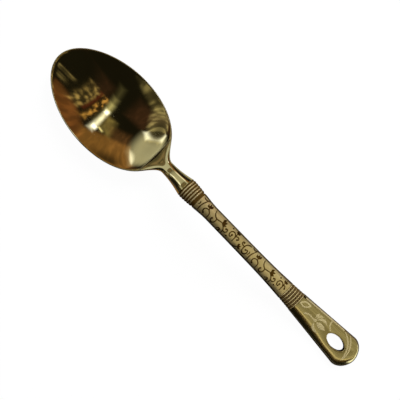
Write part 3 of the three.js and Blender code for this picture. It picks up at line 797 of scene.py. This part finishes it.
# %% The vine: one repeat of 70 squares
VINE_PEN, VINE_BALL, VINE_DOT = 0.36, 0.62, 0.5
VINE_AT, VINE_SCALE, VINE_REPEAT, VINE_MARGIN = 120.1, 0.983, 70, 1.5
vine_lines = [
    [(2.4, 6.5), (5.5, 5.8), (9.2, 7.3)],
    [(7.5, 5.9), (5.5, 1.0), (5.1, -3.6), (5.5, -7.2)],
    [(2.1, 1.2), (2.9, -0.5), (2.2, -2.7)],
    [(13.6, 2.2), (14.0, 1.0), (16.7, -1.3), (17.4, -7.2)],
    [(14.2, 0.9), (10.5, -0.2), (9.7, -3.0), (11.4, -5.1)],
    [(20.0, 6.4), (21.7, 2.6), (25.5, 0.3), (28.9, 0.8), (32.8, 1.6)],
    [(25.5, 0.3), (26.1, -1.9), (25.3, -4.7), (23.3, -5.8), (21.4, -4.4), (21.6, -2.5)],
    [(32.2, 1.4), (35.7, -0.8), (37.6, -3.3), (37.9, -6.6)],
    [(31.4, -6.2), (33.3, -4.4), (35.0, -5.2), (34.4, -6.3)],
    [(37.7, -3.3), (39.8, -3.6), (41.5, -2.0), (40.7, 0.4), (39.4, -0.3)],
    [(47.7, 0.1), (46.9, -2.4), (44.8, -0.5), (45.4, 2.6), (47.6, 3.6), (49.8, 2.9), (51.3, 0.6)],
    [(51.2, 4.6), (51.5, 1.4), (51.6, -4.6)],
    [(51.5, 1.4), (53.2, 2.5), (55.1, 2.3), (55.8, 0.8), (54.6, 0.0)],
    [(64.3, 0.8), (62.3, 1.1), (60.7, 2.3), (61.3, 3.9), (62.3, 3.7)],
    [(67.9, -0.5), (69.8, 0.1), (70.7, -2.1), (69.4, -4.6), (66.9, -4.9), (65.1, -3.0), (64.8, 0.4),
     (65.7, 3.6), (68.2, 5.4), (71.0, 5.8)],
    [(55.0, -6.6), (57.5, -5.9), (59.2, -4.2)],
]
vine_balls = [
    (11.4, -4.9), (21.7, -2.4), (34.4, -6.1), (39.5, -0.2), (47.6, 0.0), (54.7, 0.1), (62.2, 3.6),
    (67.9, -0.6),
]
vine_dots = [(44.3, 5.6), (43.8, -4.7)]
vine_buds = [
    [(13.6, 2.2), (12.3, 6.6)], [(32.6, 1.6), (37.0, 4.6)], [(51.3, 4.4), (51.9, 8.0)],
    [(59.2, -4.2), (62.4, -1.6)],
]

# %% Two repeats of the vine, the second cut short at the band
last_square = (BAND_AT - VINE_AT) / (SQUARE * VINE_SCALE) - VINE_MARGIN


def repeat_from(start, points):
    """The points moved along to a repeat, without those that would reach the band."""
    return [(along + start, across) for along, across in points if along + start < last_square]


vine = []
for start in (0, VINE_REPEAT):
    lines = [repeat_from(start, line) for line in vine_lines]
    buds = [repeat_from(start, ends) for ends in vine_buds]
    vine += [draw(line, VINE_PEN) for line in lines if len(line) > 1]
    vine += [dot(*ball, VINE_BALL) for ball in repeat_from(start, vine_balls)]
    vine += [dot(*spot, VINE_DOT) for spot in repeat_from(start, vine_dots)]
    vine += [petal for ends in buds if len(ends) == 2 for petal in bud(*ends)]
vine_scroll = press_drawing(vine, "vine_scroll", VINE_AT, VINE_PEN, VINE_SCALE)
settle(vine_scroll, slot="etched_brass")

# %% The flower: frosted on the tail
FROST_PEN, FROST_END, ARC_END = 0.46, 0.9, 0.5
PETAL_FROST, LEAF_FROST, HEART_FROST = 1.7 * FROST_PEN, 3.4 * FROST_PEN, 2.2 * FROST_PEN
FLOWER_AT, FLOWER_SCALE = 205.8, 1.01
flower_lines = [
    [(3, 9.6), (20, 11.4), (38, 13.2), (54, 14.7)],
    [(1.4, 2.2), (4.8, 6.4), (12.4, 7.4)],
    [(1.4, 2.2), (7.6, 2.2), (12.4, 7.4)],
    [(11.7, -2.7), (14.4, -0.4), (24, 0.2)],
    [(38.9, 12.6), (39.6, 8.4), (44.2, 4.0)],
]
flower_petals = [
    [(24.2, 2.4), (23.6, 5.6), (24.4, 8.6)],
    [(25.8, 2.6), (26.2, 6.6), (29.8, 9.0)],
    [(26.8, 2.0), (29.4, 5.4), (33.4, 6.7), (37.6, 5.5)],
    [(26.2, -1.6), (28.2, -5.4), (32.4, -7.2), (36.4, -7.0)],
]
end_arcs = [
    [(54.6, 15.0), (63.9, 9.6), (68.9, 3.4), (71.8, -4.0), (72.8, -8.6)],
    [(61.2, 16.2), (67.8, 9.6), (71.7, 2.9), (73.3, -6.0)],
]
flower_leaf = [(27.8, 0.2), (31.6, 0.2), (35.4, 0.2), (39.9, 0.2)]
flower_heart = (25.3, 0.5)
flower = [draw(line, FROST_PEN, FROST_END) for line in flower_lines]
flower += [draw(petal, PETAL_FROST, PETAL_END) for petal in flower_petals]
flower += [draw(arc, FROST_PEN, ARC_END) for arc in end_arcs]
flower += [draw(flower_leaf, LEAF_FROST, PETAL_END), dot(*flower_heart, HEART_FROST)]
frosted_flower = press_drawing(flower, "frosted_flower", FLOWER_AT, PETAL_FROST, FLOWER_SCALE)
settle(frosted_flower, slot="polished_brass")

# %% [markdown]
# ## Finishes
# All the metal is one brass, finished in different ways: mirror polish on bowl and tail, a fine etched
# satin on the grip, tarnish in the grooves of the collars. Painted shade darkens grooves, seams, edges and
# sides as well. Image textures would fix the scale and the light, so the finishes are made of nodes. What
# several of them share is made once, as node groups: fine polish lines along the spoon, slow drifts of
# tone, and tarnish with painted shade where the metal lies deep or turns away.


# %% Node helpers
def fill(tree, made, inputs):
    """Gives a node's inputs their values, or links them to the outputs of other nodes."""
    for name, value in inputs.items():
        if isinstance(value, bpy.types.NodeSocket):
            tree.links.new(value, made.inputs[name])
        else:
            made.inputs[name].default_value = value
    return made


def node(tree, kind, inputs=None, **settings):
    made = tree.nodes.new("ShaderNode" + kind)
    for name, value in settings.items():
        setattr(made, name, value)
    return fill(tree, made, inputs or {})


def new_group(name, inputs, outputs):
    group = bpy.data.node_groups.new(name, "ShaderNodeTree")
    for socket, (kind, value) in inputs.items():
        made = group.interface.new_socket(socket, in_out="INPUT", socket_type="NodeSocket" + kind)
        if value is not None:
            made.default_value = value
    for socket, kind in outputs.items():
        group.interface.new_socket(socket, in_out="OUTPUT", socket_type="NodeSocket" + kind)
    return group, group.nodes.new("NodeGroupInput").outputs, group.nodes.new("NodeGroupOutput").inputs


def use_group(tree, group, inputs):
    return node(tree, "Group", inputs, node_tree=group)


# %% Sums, noise and blends, each as the output of one node
def calc(tree, operation, *values):
    return node(tree, "Math", dict(enumerate(values)), operation=operation).outputs[0]


def vector_calc(tree, operation, *values):
    return node(tree, "VectorMath", dict(enumerate(values)), operation=operation).outputs[0]


def noise(tree, place, scale, detail):
    return node(tree, "TexNoise", {"Vector": place, "Scale": scale, "Detail": detail}).outputs[0]


def ramp(tree, value, low, high, kind="LINEAR"):
    """How far a value has come from low to high, as a share from 0 to 1."""
    span = {"Value": value, "From Min": low, "From Max": high}
    return node(tree, "MapRange", span, interpolation_type=kind).outputs[0]


def blend(tree, share, first, second):
    """A colour that goes from the first to the second as the share goes from 0 to 1."""
    return node(tree, "Mix", {"Factor": share, 6: first, 7: second}, data_type="RGBA").outputs[2]


# %% Group: polish lines along the spoon
polish_lines, given, put = new_group(
    "polish_lines",
    {"Vector": ("Vector", None), "Along": ("Float", 40.0), "Across": ("Float", 1500.0)},
    {"Height": "Float", "Haze": "Float"},
)
stretch = node(polish_lines, "CombineXYZ", {"X": given["Along"], "Y": given["Across"], "Z": given["Across"]})
drawn_out = vector_calc(polish_lines, "MULTIPLY", given["Vector"], stretch.outputs[0])
strands = node(polish_lines, "TexNoise", {
    "Vector": drawn_out, "Scale": 1.0, "Detail": 3.0, "Roughness": 0.6}).outputs[0]
cloud = noise(polish_lines, given["Vector"], scale=90.0, detail=2.0)
hazy = calc(polish_lines, "MULTIPLY", strands, cloud)
polish_lines.links.new(strands, put["Height"])
polish_lines.links.new(ramp(polish_lines, hazy, low=0.12, high=0.4), put["Haze"])

# %% Group: drifts of tone
tone_drift, given, put = new_group(
    "tone_drift",
    {"Vector": ("Vector", None), "Scale": ("Float", 60.0), "Light": ("Color", None), "Dark": ("Color", None)},
    {"Color": "Color"},
)
drift = noise(tone_drift, given["Vector"], given["Scale"], detail=3.0)
toned = blend(tone_drift, ramp(tone_drift, drift, low=0.35, high=0.65), given["Dark"], given["Light"])
tone_drift.links.new(toned, put["Color"])

# %% Group: tarnish and painted shade, in grooves and seams, along edges and on sides
TARNISH_AND_SHADE_FADE = 0.45
tarnish_and_painted_shade, given, put = new_group(
    "tarnish_and_painted_shade",
    {"Vector": ("Vector", None), "Metal": ("Color", None), "Tarnish and shade": ("Color", None),
     "Reach": ("Float", 0.35), "Patchiness": ("Float", 0.25)},
    {"Color": "Color", "Mask": "Float"},
)
depth = node(tarnish_and_painted_shade, "Attribute", attribute_name="tarnish_shade_share").outputs["Fac"]
patchy = noise(tarnish_and_painted_shade, given["Vector"], scale=900.0, detail=3.0)
centred = calc(tarnish_and_painted_shade, "SUBTRACT", patchy, 0.5)
uneven = calc(tarnish_and_painted_shade, "MULTIPLY_ADD", centred, given["Patchiness"], depth)
full_at = calc(tarnish_and_painted_shade, "ADD", given["Reach"], TARNISH_AND_SHADE_FADE)
tarnish_and_shade_mask = ramp(tarnish_and_painted_shade, uneven, given["Reach"], full_at, "SMOOTHSTEP")
tarnish_and_painted_shade.links.new(blend(tarnish_and_painted_shade, tarnish_and_shade_mask, given["Metal"], given["Tarnish and shade"]), put["Color"])
tarnish_and_painted_shade.links.new(tarnish_and_shade_mask, put["Mask"])
print("node groups:", [g.name for g in bpy.data.node_groups])


# %% [markdown]
# Each brass is the same small tree: tone, polish lines and bump, with its own values. Polishing along the
# spoon leaves lines that smear a highlight across it, which is what Anisotropic does, with the tangent
# across the spoon taken from the sheet's or the sphere's own UV map.

# %% Brass
HAZE_ROUGHNESS, TARNISH_AND_SHADE_GLOSS, ETCH_GRAIN_SCALE = 0.2, 0.15, 5000.0


def brass(name, light, dark, rough, lines=(40.0, 1500.0), line_height=0.0, grain=0.0, smear=0.0, tarnish_and_shade_color=None,
          patchiness=0.25, reach=0.35, metal=1.0):
    material = bpy.data.materials.new(name)
    material.use_nodes = True
    tree = material.node_tree
    shader = fill(tree, tree.nodes["Principled BSDF"], {"Metallic": metal})
    place = node(tree, "TexCoord").outputs["Object"]
    tone = use_group(tree, tone_drift, {"Vector": place, "Light": light, "Dark": dark})
    polish = use_group(tree, polish_lines, {"Vector": place, "Along": lines[0], "Across": lines[1]})
    color, rough_share = tone.outputs["Color"], polish.outputs["Haze"]
    # Tarnish and painted shade darken the colour, dull the metal and roughen it where the piece's share says
    # so.
    if tarnish_and_shade_color:
        tarnish_and_shade_node = use_group(tree, tarnish_and_painted_shade, {
            "Vector": place, "Metal": color, "Tarnish and shade": tarnish_and_shade_color, "Patchiness": patchiness, "Reach": reach})
        color, tarnish_and_shade_mask = tarnish_and_shade_node.outputs["Color"], tarnish_and_shade_node.outputs["Mask"]
        rough_share = calc(tree, "MAXIMUM", rough_share, tarnish_and_shade_mask)
        bare = node(tree, "MapRange", {"Value": tarnish_and_shade_mask, "To Min": metal, "To Max": 0.0})
        fill(tree, shader, {"Metallic": bare.outputs[0], "Specular IOR Level": TARNISH_AND_SHADE_GLOSS})
    polished = node(tree, "MapRange", {"Value": rough_share, "To Min": rough[0], "To Max": rough[1]})
    haze = node(tree, "Attribute", attribute_name="haze").outputs["Fac"]
    roughness = calc(tree, "MULTIPLY_ADD", haze, HAZE_ROUGHNESS, polished.outputs[0])
    normal = node(tree, "Bump", {
        "Height": polish.outputs["Height"], "Strength": 1.0, "Distance": line_height * MM}).outputs[0]
    if grain:
        etched = noise(tree, place, ETCH_GRAIN_SCALE, detail=2.0)
        normal = node(tree, "Bump", {
            "Height": etched, "Normal": normal, "Strength": 1.0, "Distance": grain * MM}).outputs[0]
    if smear:
        across = node(tree, "Tangent", direction_type="UV_MAP", uv_map="UVMap")
        fill(tree, shader, {"Anisotropic": smear, "Tangent": across.outputs[0]})
    fill(tree, shader, {"Base Color": color, "Roughness": roughness, "Normal": normal})
    return material


# %% The finishes of the brass
# Browns for tarnish and painted shade: the first for seams, edges, flanks and the eyelet's wall, the second
# for the collars.
SEAM_AND_SHADE_BROWN, GROOVE_AND_SHADE_BROWN = (0.05, 0.028, 0.008, 1), (0.09, 0.046, 0.007, 1)
polished_brass = brass(
    "polished_brass", light=(0.68, 0.59, 0.33, 1), dark=(0.63, 0.53, 0.28, 1), rough=(0.04, 0.10),
    lines=(30.0, 2600.0), line_height=0.0002, smear=0.6, tarnish_and_shade_color=SEAM_AND_SHADE_BROWN, patchiness=0.05)
satin_brass = brass(
    "satin_brass", light=(0.88, 0.71, 0.36, 1), dark=(0.80, 0.63, 0.30, 1), rough=(0.36, 0.46),
    line_height=0.002, grain=0.006, tarnish_and_shade_color=SEAM_AND_SHADE_BROWN, metal=0.8)
aged_brass = brass(
    "aged_brass", light=(0.95, 0.79, 0.44, 1), dark=(0.90, 0.72, 0.37, 1), rough=(0.24, 0.25),
    tarnish_and_shade_color=GROOVE_AND_SHADE_BROWN, patchiness=0.05, reach=0.05, metal=0.8)
browned_brass = brass(
    "browned_brass", light=(0.16, 0.09, 0.02, 1), dark=(0.11, 0.055, 0.012, 1), rough=(0.3, 0.4))
frosted_brass = brass(
    "frosted_brass", light=(0.92, 0.80, 0.48, 1), dark=(0.86, 0.73, 0.41, 1), rough=(0.5, 0.6), grain=0.006,
    metal=0.7)
print("finishes:", [m.name for m in bpy.data.materials if m.name.endswith("brass")])

# %% [markdown]
# Inside the grip, a dull dark resin holds the tang. It can't be seen, so the CAD model's own piece stays as
# it is and gets a plain tree, with the same drifts of tone as the brass.

# %% Resin round the tang
resin = bpy.data.materials.new("cutlers_resin")
resin.use_nodes = True
tree = resin.node_tree
place = node(tree, "TexCoord").outputs["Object"]
tone = use_group(tree, tone_drift, {
    "Vector": place, "Scale": 400.0, "Light": (0.09, 0.055, 0.03, 1), "Dark": (0.045, 0.027, 0.015, 1)})
fill(tree, tree.nodes["Principled BSDF"], {"Roughness": 0.6, "Base Color": tone.outputs["Color"]})
print("resin:", resin.name)

# %% Each piece gets its finish
finishes = {
    polished_brass: [bowl, *tail_shells.values(), eyelet],
    satin_brass: list(grip_shells.values()),
    aged_brass: [ferrule, band],
    browned_brass: [vine_scroll],
    frosted_brass: [frosted_flower],
    resin: [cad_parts["grip_core"]],
}
for finish, pieces in finishes.items():
    for piece in pieces:
        piece.data.materials.clear()
        piece.data.materials.append(finish)
print("finished pieces:", sum(len(pieces) for pieces in finishes.values()))

# %% [markdown]
# ## Studio
# Polished metal is a picture of what stands round it. A photographer puts it in a tent of dark cloth with
# a few pale panels, so that it has both bright and dark to show. Area lamps could make the bright parts, but
# each would light the floor as well. Here the tent is half a sphere that only reflections see, and the
# panels are patches on it, placed by where they lie in the sky: X along the spoon and Y across it, as seen
# from above.


# %% Glowing cloth and paper that only reflections see
def empty_material(name):
    """A material with nothing in it but its output."""
    material = bpy.data.materials.new(name)
    material.use_nodes = True
    tree = material.node_tree
    tree.nodes.remove(tree.nodes["Principled BSDF"])
    return material, tree


def show(tree, shader, output="Material Output"):
    tree.links.new(shader.outputs[0], tree.nodes[output].inputs["Surface"])


def hang_for_reflections(piece, material, color):
    """The piece glows in that colour, and only reflections see it."""
    tree = material.node_tree
    show(tree, node(tree, "Emission", {"Color": color}))
    piece.data.materials.append(material)
    piece.visible_camera = piece.visible_diffuse = False
    piece.visible_shadow = piece.visible_transmission = False


# %% Group: a soft-edged panel on the tent
FLECK_STRETCH = (15.0, 6.0, 0.0)
tent_panel, given, put = new_group(
    "tent_panel",
    {"Direction": ("Vector", None), "Centre": ("Vector", None), "Half size": ("Vector", None),
     "Turn": ("Float", 0.0), "Softness": ("Float", 0.05), "Fleck": ("Float", 0.0), "Light": ("Color", None)},
    {"Color": "Color"},
)
off_centre = vector_calc(tent_panel, "SUBTRACT", given["Direction"], given["Centre"])
turned = node(tent_panel, "VectorRotate", {
    "Vector": off_centre, "Angle": given["Turn"]}, rotation_type="Z_AXIS").outputs[0]
reach = vector_calc(tent_panel, "ABSOLUTE", turned)
past_sides = vector_calc(tent_panel, "SUBTRACT", reach, given["Half size"])
past_edge = node(tent_panel, "SeparateXYZ", {0: past_sides})
furthest = calc(tent_panel, "MAXIMUM", past_edge.outputs["X"], past_edge.outputs["Y"])
inner = calc(tent_panel, "MULTIPLY", given["Softness"], -1.0)
inside = ramp(tent_panel, furthest, given["Softness"], inner, "SMOOTHSTEP")
spots = noise(
    tent_panel, vector_calc(tent_panel, "MULTIPLY", given["Direction"], FLECK_STRETCH), scale=1.0, detail=2.0)
spotted = ramp(tent_panel, spots, low=0.44, high=0.66, kind="SMOOTHSTEP")
shade = node(tent_panel, "Mix", {"Factor": given["Fleck"], "A": 1.0, "B": spotted}, data_type="FLOAT")
share = calc(tent_panel, "MULTIPLY", inside, shade.outputs[0])
lit = node(tent_panel, "VectorMath", {0: given["Light"], "Scale": share}, operation="SCALE")
tent_panel.links.new(lit.outputs[0], put["Color"])

# %% The cloth of the tent and its panels
CLOTH_GLOW = (0.011, 0.010, 0.006, 1)
tent_panels = [
    # centre, half size, turn in degrees, softness, fleck, light
    ((-0.06, 0.43), (0.028, 0.34), -3, 0.05, 0.3, (2.3, 2.45, 2.7)),
    ((-0.03, 0.00), (0.008, 0.66), -3, 0.10, 0.0, (0.12, 0.115, 0.06)),
    ((-0.03, 0.10), (0.012, 0.44), -3, 0.10, 0.0, (0.36, 0.34, 0.19)),
    ((-0.03, -0.02), (0.035, 0.14), -3, 0.07, 0.0, (0.50, 0.50, 0.30)),
    ((-0.093, 0.69), (0.03, 0.03), 0, 0.03, 0.0, (2.6, 2.8, 3.4)),
    ((-0.175, 0.63), (0.035, 0.012), 10, 0.025, 0.0, (1.6, 1.5, 0.9)),
    ((-0.047, 0.175), (0.03, 0.05), 0, 0.03, 0.0, (2.2, 2.4, 2.8)),
    ((-0.20, 0.40), (0.09, 0.22), -6, 0.07, 0.4, (0.28, 0.23, 0.09)),
    ((-0.43, 0.67), (0.45, 0.11), -37, 0.05, 0.3, (0.30, 0.15, 0.044)),
    ((-0.50, 0.42), (0.22, 0.17), -37, 0.12, 0.4, (0.13, 0.062, 0.027)),
    ((0.22, 0.80), (0.32, 0.10), 38, 0.05, 0.5, (0.26, 0.10, 0.032)),
    ((0.105, 0.28), (0.05, 0.44), 0, 0.04, 0.95, (0.80, 0.45, 0.13)),
    ((0.198, 0.20), (0.02, 0.38), 0, 0.03, 0.0, (0.09, 0.012, 0.006)),
    ((0.285, 0.22), (0.06, 0.42), 0, 0.04, 0.95, (0.60, 0.45, 0.20)),
    ((0.44, 0.34), (0.008, 0.20), 0, 0.02, 1.0, (0.6, 0.5, 0.25)),
    ((0.20, -0.33), (0.09, 0.22), 0, 0.10, 0.3, (0.036, 0.015, 0.009)),
    ((-0.48, -0.48), (0.18, 0.24), 0, 0.12, 0.3, (0.06, 0.025, 0.015)),
    ((-0.88, 0.14), (0.14, 0.26), 0, 0.14, 0.0, (0.54, 0.55, 0.46)),
    ((-0.82, 0.36), (0.05, 0.03), -30, 0.05, 0.0, (1.5, 1.6, 1.8)),
    ((-0.80, -0.18), (0.09, 0.035), 40, 0.05, 0.0, (1.6, 1.75, 2.0)),
    ((-0.69, -0.44), (0.42, 0.05), 60, 0.06, 0.8, (0.55, 0.50, 0.30)),
    ((-0.36, -0.84), (0.30, 0.03), 28, 0.04, 0.8, (0.33, 0.29, 0.15)),
    ((0.85, 0.28), (0.20, 0.50), 0, 0.06, 0.0, (1.6, 1.7, 1.6)),
]
tent_cloth, tree = empty_material("tent_cloth")
direction = vector_calc(tree, "NORMALIZE", node(tree, "TexCoord").outputs["Object"])
glow = node(tree, "RGB").outputs[0]
glow.default_value = CLOTH_GLOW
for centre, half, turn, softness, fleck, light in tent_panels:
    panel = use_group(tree, tent_panel, {
        "Direction": direction, "Centre": (*centre, 0), "Half size": (*half, 1), "Turn": math.radians(turn),
        "Softness": softness, "Fleck": fleck, "Light": (*light, 1)})
    glow = vector_calc(tree, "ADD", glow, panel.outputs[0])
print("panels on the tent:", len(tent_panels))

# %% The tent: the upper half of a sphere, seen from inside
TENT_RADIUS, TENT_FOOT = 8.0, 0.01
clear_selection()
bpy.ops.mesh.primitive_uv_sphere_add(segments=64, ring_count=32, radius=TENT_RADIUS)
tent = bpy.context.object
tent.name = tent.data.name = "studio_tent"
bpy.ops.object.mode_set(mode="EDIT")
bpy.ops.mesh.select_all(action="SELECT")
bpy.ops.mesh.bisect(plane_co=(0, 0, TENT_FOOT), plane_no=(0, 0, 1), clear_inner=True)
bpy.ops.mesh.select_all(action="SELECT")
bpy.ops.mesh.flip_normals()
bpy.ops.object.mode_set(mode="OBJECT")
hang_for_reflections(tent, tent_cloth, glow)
print("tent", TENT_RADIUS, "m from the middle to the cloth")

# %% [markdown]
# The tail leans the other way than the bowl and has a calmer reflection: a card hangs close above it, so
# low that the bowl doesn't see it, where a wider panel on the tent would show in both. The card's edge
# crosses the tail aslant. A brighter strip runs along the edge, and a brown shade fades out beside it.

# %% Level cards
FACING_DOWN = (math.pi, 0, 0)


def level_card(name, middle, size, rotation=FACING_DOWN):
    clear_selection()
    bpy.ops.mesh.primitive_plane_add(size=1, location=middle, rotation=rotation)
    card = bpy.context.object
    card.name = card.data.name = name
    card.scale = (*size, 1)
    bpy.ops.object.transform_apply(location=True, rotation=True, scale=True)
    return card


# %% A card cut along a slanting edge
CARD_HEIGHT, CARD_FROM, CARD_TO, CARD_SIDE = 0.18, 0.06, 0.5, 0.26
CARD_EDGE, CARD_TURN = (0.18, -0.069), math.radians(28.0)
into_card = np.array([-math.sin(CARD_TURN), math.cos(CARD_TURN), 0])


def slanting_card(name, height, starts_at, ends_at=None):
    """The card from one distance off its edge to another, or to its far side."""
    middle, size = ((CARD_FROM + CARD_TO) / 2, 0, height), (CARD_TO - CARD_FROM, 2 * CARD_SIDE)
    card = level_card(name, middle, size)
    edge = np.array([*CARD_EDGE, height])
    bpy.ops.object.mode_set(mode="EDIT")
    bpy.ops.mesh.select_all(action="SELECT")
    bpy.ops.mesh.bisect(plane_co=edge + starts_at * into_card, plane_no=into_card, clear_inner=True)
    if ends_at:
        bpy.ops.mesh.select_all(action="SELECT")
        bpy.ops.mesh.bisect(plane_co=edge + ends_at * into_card, plane_no=into_card, clear_outer=True)
    bpy.ops.object.mode_set(mode="OBJECT")
    return card


# %% The card by the tail and the strip along its edge
EDGE_WIDTH, EDGE_FADE, EDGE_DROP = 0.018, 0.06, 0.0005
FOLD_STRETCH = (3.0, 70.0, 1.0)
SHADE_FAR, SHADE_NEAR = (0.008, 0.006, 0.003, 1), (0.12, 0.08, 0.028, 1)


def folded_paper(name, dark, light):
    """Paper with soft folds along the card's edge, and the shade that fades out on the other side of it."""
    material, tree = empty_material(name)
    straight = node(tree, "TexCoord").outputs["Object"]
    place = node(tree, "VectorRotate", {
        "Vector": straight, "Angle": -CARD_TURN}, rotation_type="Z_AXIS").outputs[0]
    folds = noise(tree, vector_calc(tree, "MULTIPLY", place, FOLD_STRETCH), scale=1.0, detail=1.0)
    tone = blend(tree, ramp(tree, folds, low=0.35, high=0.65), dark, light)
    across = node(tree, "SeparateXYZ", {0: place}).outputs["Y"]
    off_edge = calc(tree, "SUBTRACT", across, float(into_card[:2] @ np.array(CARD_EDGE)))
    shade = blend(tree, ramp(tree, off_edge, -EDGE_FADE, 0.0), SHADE_FAR, SHADE_NEAR)
    return material, blend(tree, calc(tree, "GREATER_THAN", off_edge, 0.0), shade, tone)


tail_paper = folded_paper("card_by_tail", dark=(0.21, 0.185, 0.095, 1), light=(0.52, 0.49, 0.32, 1))
hang_for_reflections(slanting_card("card_by_tail", CARD_HEIGHT, -EDGE_FADE), *tail_paper)
edge_paper = folded_paper("card_edge", dark=(0.85, 0.76, 0.46, 1), light=(1.0, 0.92, 0.62, 1))
hang_for_reflections(slanting_card("card_edge", CARD_HEIGHT - EDGE_DROP, 0.0, EDGE_WIDTH), *edge_paper)
print("card edge", EDGE_WIDTH / MM, "mm wide")

# %% [markdown]
# The land behind the bowl looks straight up. A pale tent overhead would brighten it, but the bowl would show
# that too, so a small pale card hangs close over the land and ends where the bowl would begin to show it.
# An oval in the card, darker and faintly ringed, is where a camera would look through.

# %% A small card over the heel
HEEL_CARD_AT, HEEL_CARD_SIZE, HEEL_PAPER = (-0.0545, 0, 0.06), (0.042, 0.06), (0.62, 0.65, 0.58, 1)
LENS_AT, LENS_SIZE, LENS_RINGS, LENS_EDGE = (-0.068, 0, 0.06), (0.011, 0.018, 1.0), 18.0, (0.9, 1.15)
LENS_DARK, LENS_PALE = (0.08, 0.08, 0.045, 1), (0.30, 0.23, 0.13, 1)
heel_paper, tree = empty_material("card_over_heel")
off_lens = vector_calc(tree, "SUBTRACT", node(tree, "TexCoord").outputs["Object"], LENS_AT)
lens_share = vector_calc(tree, "DIVIDE", off_lens, LENS_SIZE)
from_lens = node(tree, "VectorMath", {0: lens_share}, operation="LENGTH").outputs["Value"]
rings = calc(tree, "SINE", calc(tree, "MULTIPLY", from_lens, LENS_RINGS))
lens_tone = blend(tree, ramp(tree, rings, -1.0, 1.0), LENS_DARK, LENS_PALE)
heel_tone = blend(tree, ramp(tree, from_lens, *LENS_EDGE), lens_tone, HEEL_PAPER)
hang_for_reflections(level_card("card_over_heel", HEEL_CARD_AT, HEEL_CARD_SIZE), heel_paper, heel_tone)
print("card", round(HEEL_CARD_AT[2] / MM), "mm over the heel")

# %% [markdown]
# The neck is round, so its flanks show what lies beside it on the table. A card lies on each side, pale on
# one and brown on the other, which makes the neck look round. Panels low on the tent could do it too, but
# the bowl would show them.

# %% Two low cards beside the neck
LOW_CARD_SIZE = (0.030, 0.06)
low_cards = {
    "pale_card_by_neck": ((-0.029, 0.034, 0.0005), (0.62, 0.60, 0.42, 1)),
    "brown_card_by_neck": ((-0.029, -0.034, 0.0005), (0.42, 0.24, 0.08, 1)),
}
for name, (middle, tone) in low_cards.items():
    low_paper, tree = empty_material(name)
    hang_for_reflections(level_card(name, middle, LOW_CARD_SIZE, rotation=(0, 0, 0)), low_paper, tone)
print("low cards:", list(low_cards))

# %% [markdown]
# The floor is white paper and the world is white, but to the eye alone. A plain white floor would light the
# spoon from below and show as a pale fringe along its sides, so reflections and the light that bounces see
# dark paper and a dim world instead. The paper keeps the spoon's shadow.

# %% Floor and world
FLOOR_SIZE, FLOOR_DROP = 20.0, 0.0001
SEEN_WHITE, SEEN_PAPER, BOUNCED_PAPER, WORLD_FILL = 0.97, 0.05, 0.1, 0.15
WHITE = (1, 1, 1, 1)


def seen_ray(tree):
    """1 for what the eye sees straight or through glass, 0 for light and reflections that fall on things."""
    path = node(tree, "LightPath").outputs
    return calc(tree, "MAXIMUM", path["Is Camera Ray"], path["Is Transmission Ray"])


def plain_paper(tree, level):
    return node(tree, "BsdfDiffuse", {"Color": (level, level, level, 1)}).outputs[0]


floor_paper, tree = empty_material("floor_paper")
white = node(tree, "Emission", {"Color": WHITE, "Strength": SEEN_WHITE})
seen = node(tree, "AddShader", {0: plain_paper(tree, SEEN_PAPER), 1: white.outputs[0]})
show(tree, node(tree, "MixShader", {
    0: seen_ray(tree), 1: plain_paper(tree, BOUNCED_PAPER), 2: seen.outputs[0]}))
clear_selection()
bpy.ops.mesh.primitive_plane_add(size=FLOOR_SIZE, location=(0, 0, -FLOOR_DROP))
floor = bpy.context.object
floor.name = floor.data.name = "studio_floor"
bpy.ops.object.transform_apply(location=True, rotation=True, scale=True)
floor.data.materials.append(floor_paper)

world = bpy.data.worlds.new("studio_world")
bpy.context.scene.world = world
world.use_nodes = True
tree = world.node_tree
dim = fill(tree, tree.nodes["Background"], {"Color": WHITE, "Strength": WORLD_FILL})
backdrop = node(tree, "Background", {"Color": WHITE, "Strength": 1.0})
world_mix = node(tree, "MixShader", {0: seen_ray(tree), 1: dim.outputs[0], 2: backdrop.outputs[0]})
show(tree, world_mix, "World Output")
print("floor", FLOOR_SIZE, "m wide")

# %% [markdown]
# One soft box stands beside the spoon, for the satin grip and the shadow. A spot or a sun would give hard
# edges. The box stays out of reflections, because the tent already draws its own window.

# %% A soft box beside the spoon
BOX_AT, BOX_SIZE, BOX_LIGHT = (-0.3, 2.0, 1.8), (1.0, 1.6), 14.0
clear_selection()
bpy.ops.object.light_add(type="AREA", location=BOX_AT)
side_box = bpy.context.object
side_box.name = side_box.data.name = "side_box"
side_box.data.shape = "RECTANGLE"
side_box.data.size, side_box.data.size_y = BOX_SIZE
side_box.data.energy = BOX_LIGHT * BOX_SIZE[0] * BOX_SIZE[1] * math.pi
side_box.rotation_euler = (-side_box.location).to_track_quat("-Z", "Y").to_euler()
side_box.visible_glossy = False
print("soft box of", round(side_box.data.energy, 1), "W")

# %% [markdown]
# ## Camera
# The photograph looks straight down, so the spoon's outline is even and only the wall of the hole at the
# tail's end shows. The spoon lies aslant in it, which is a turn of the camera and not of the spoon.

# %% Camera straight above
CAMERA_AT, CAMERA_TURN = (-0.00745, 0.00075, 0.495), math.radians(46.03)
FRAME_WIDTH, FRAME_LEVEL = 0.240, 0.010
clear_selection()
bpy.ops.object.camera_add(location=CAMERA_AT, rotation=(0, 0, CAMERA_TURN))
camera = bpy.context.object
camera.data.sensor_width = 36.0
camera.data.lens = camera.data.sensor_width * (CAMERA_AT[2] - FRAME_LEVEL) / FRAME_WIDTH
bpy.context.scene.camera = camera
bpy.context.scene.view_settings.view_transform = "Standard"
print("lens", round(camera.data.lens, 1), "mm")
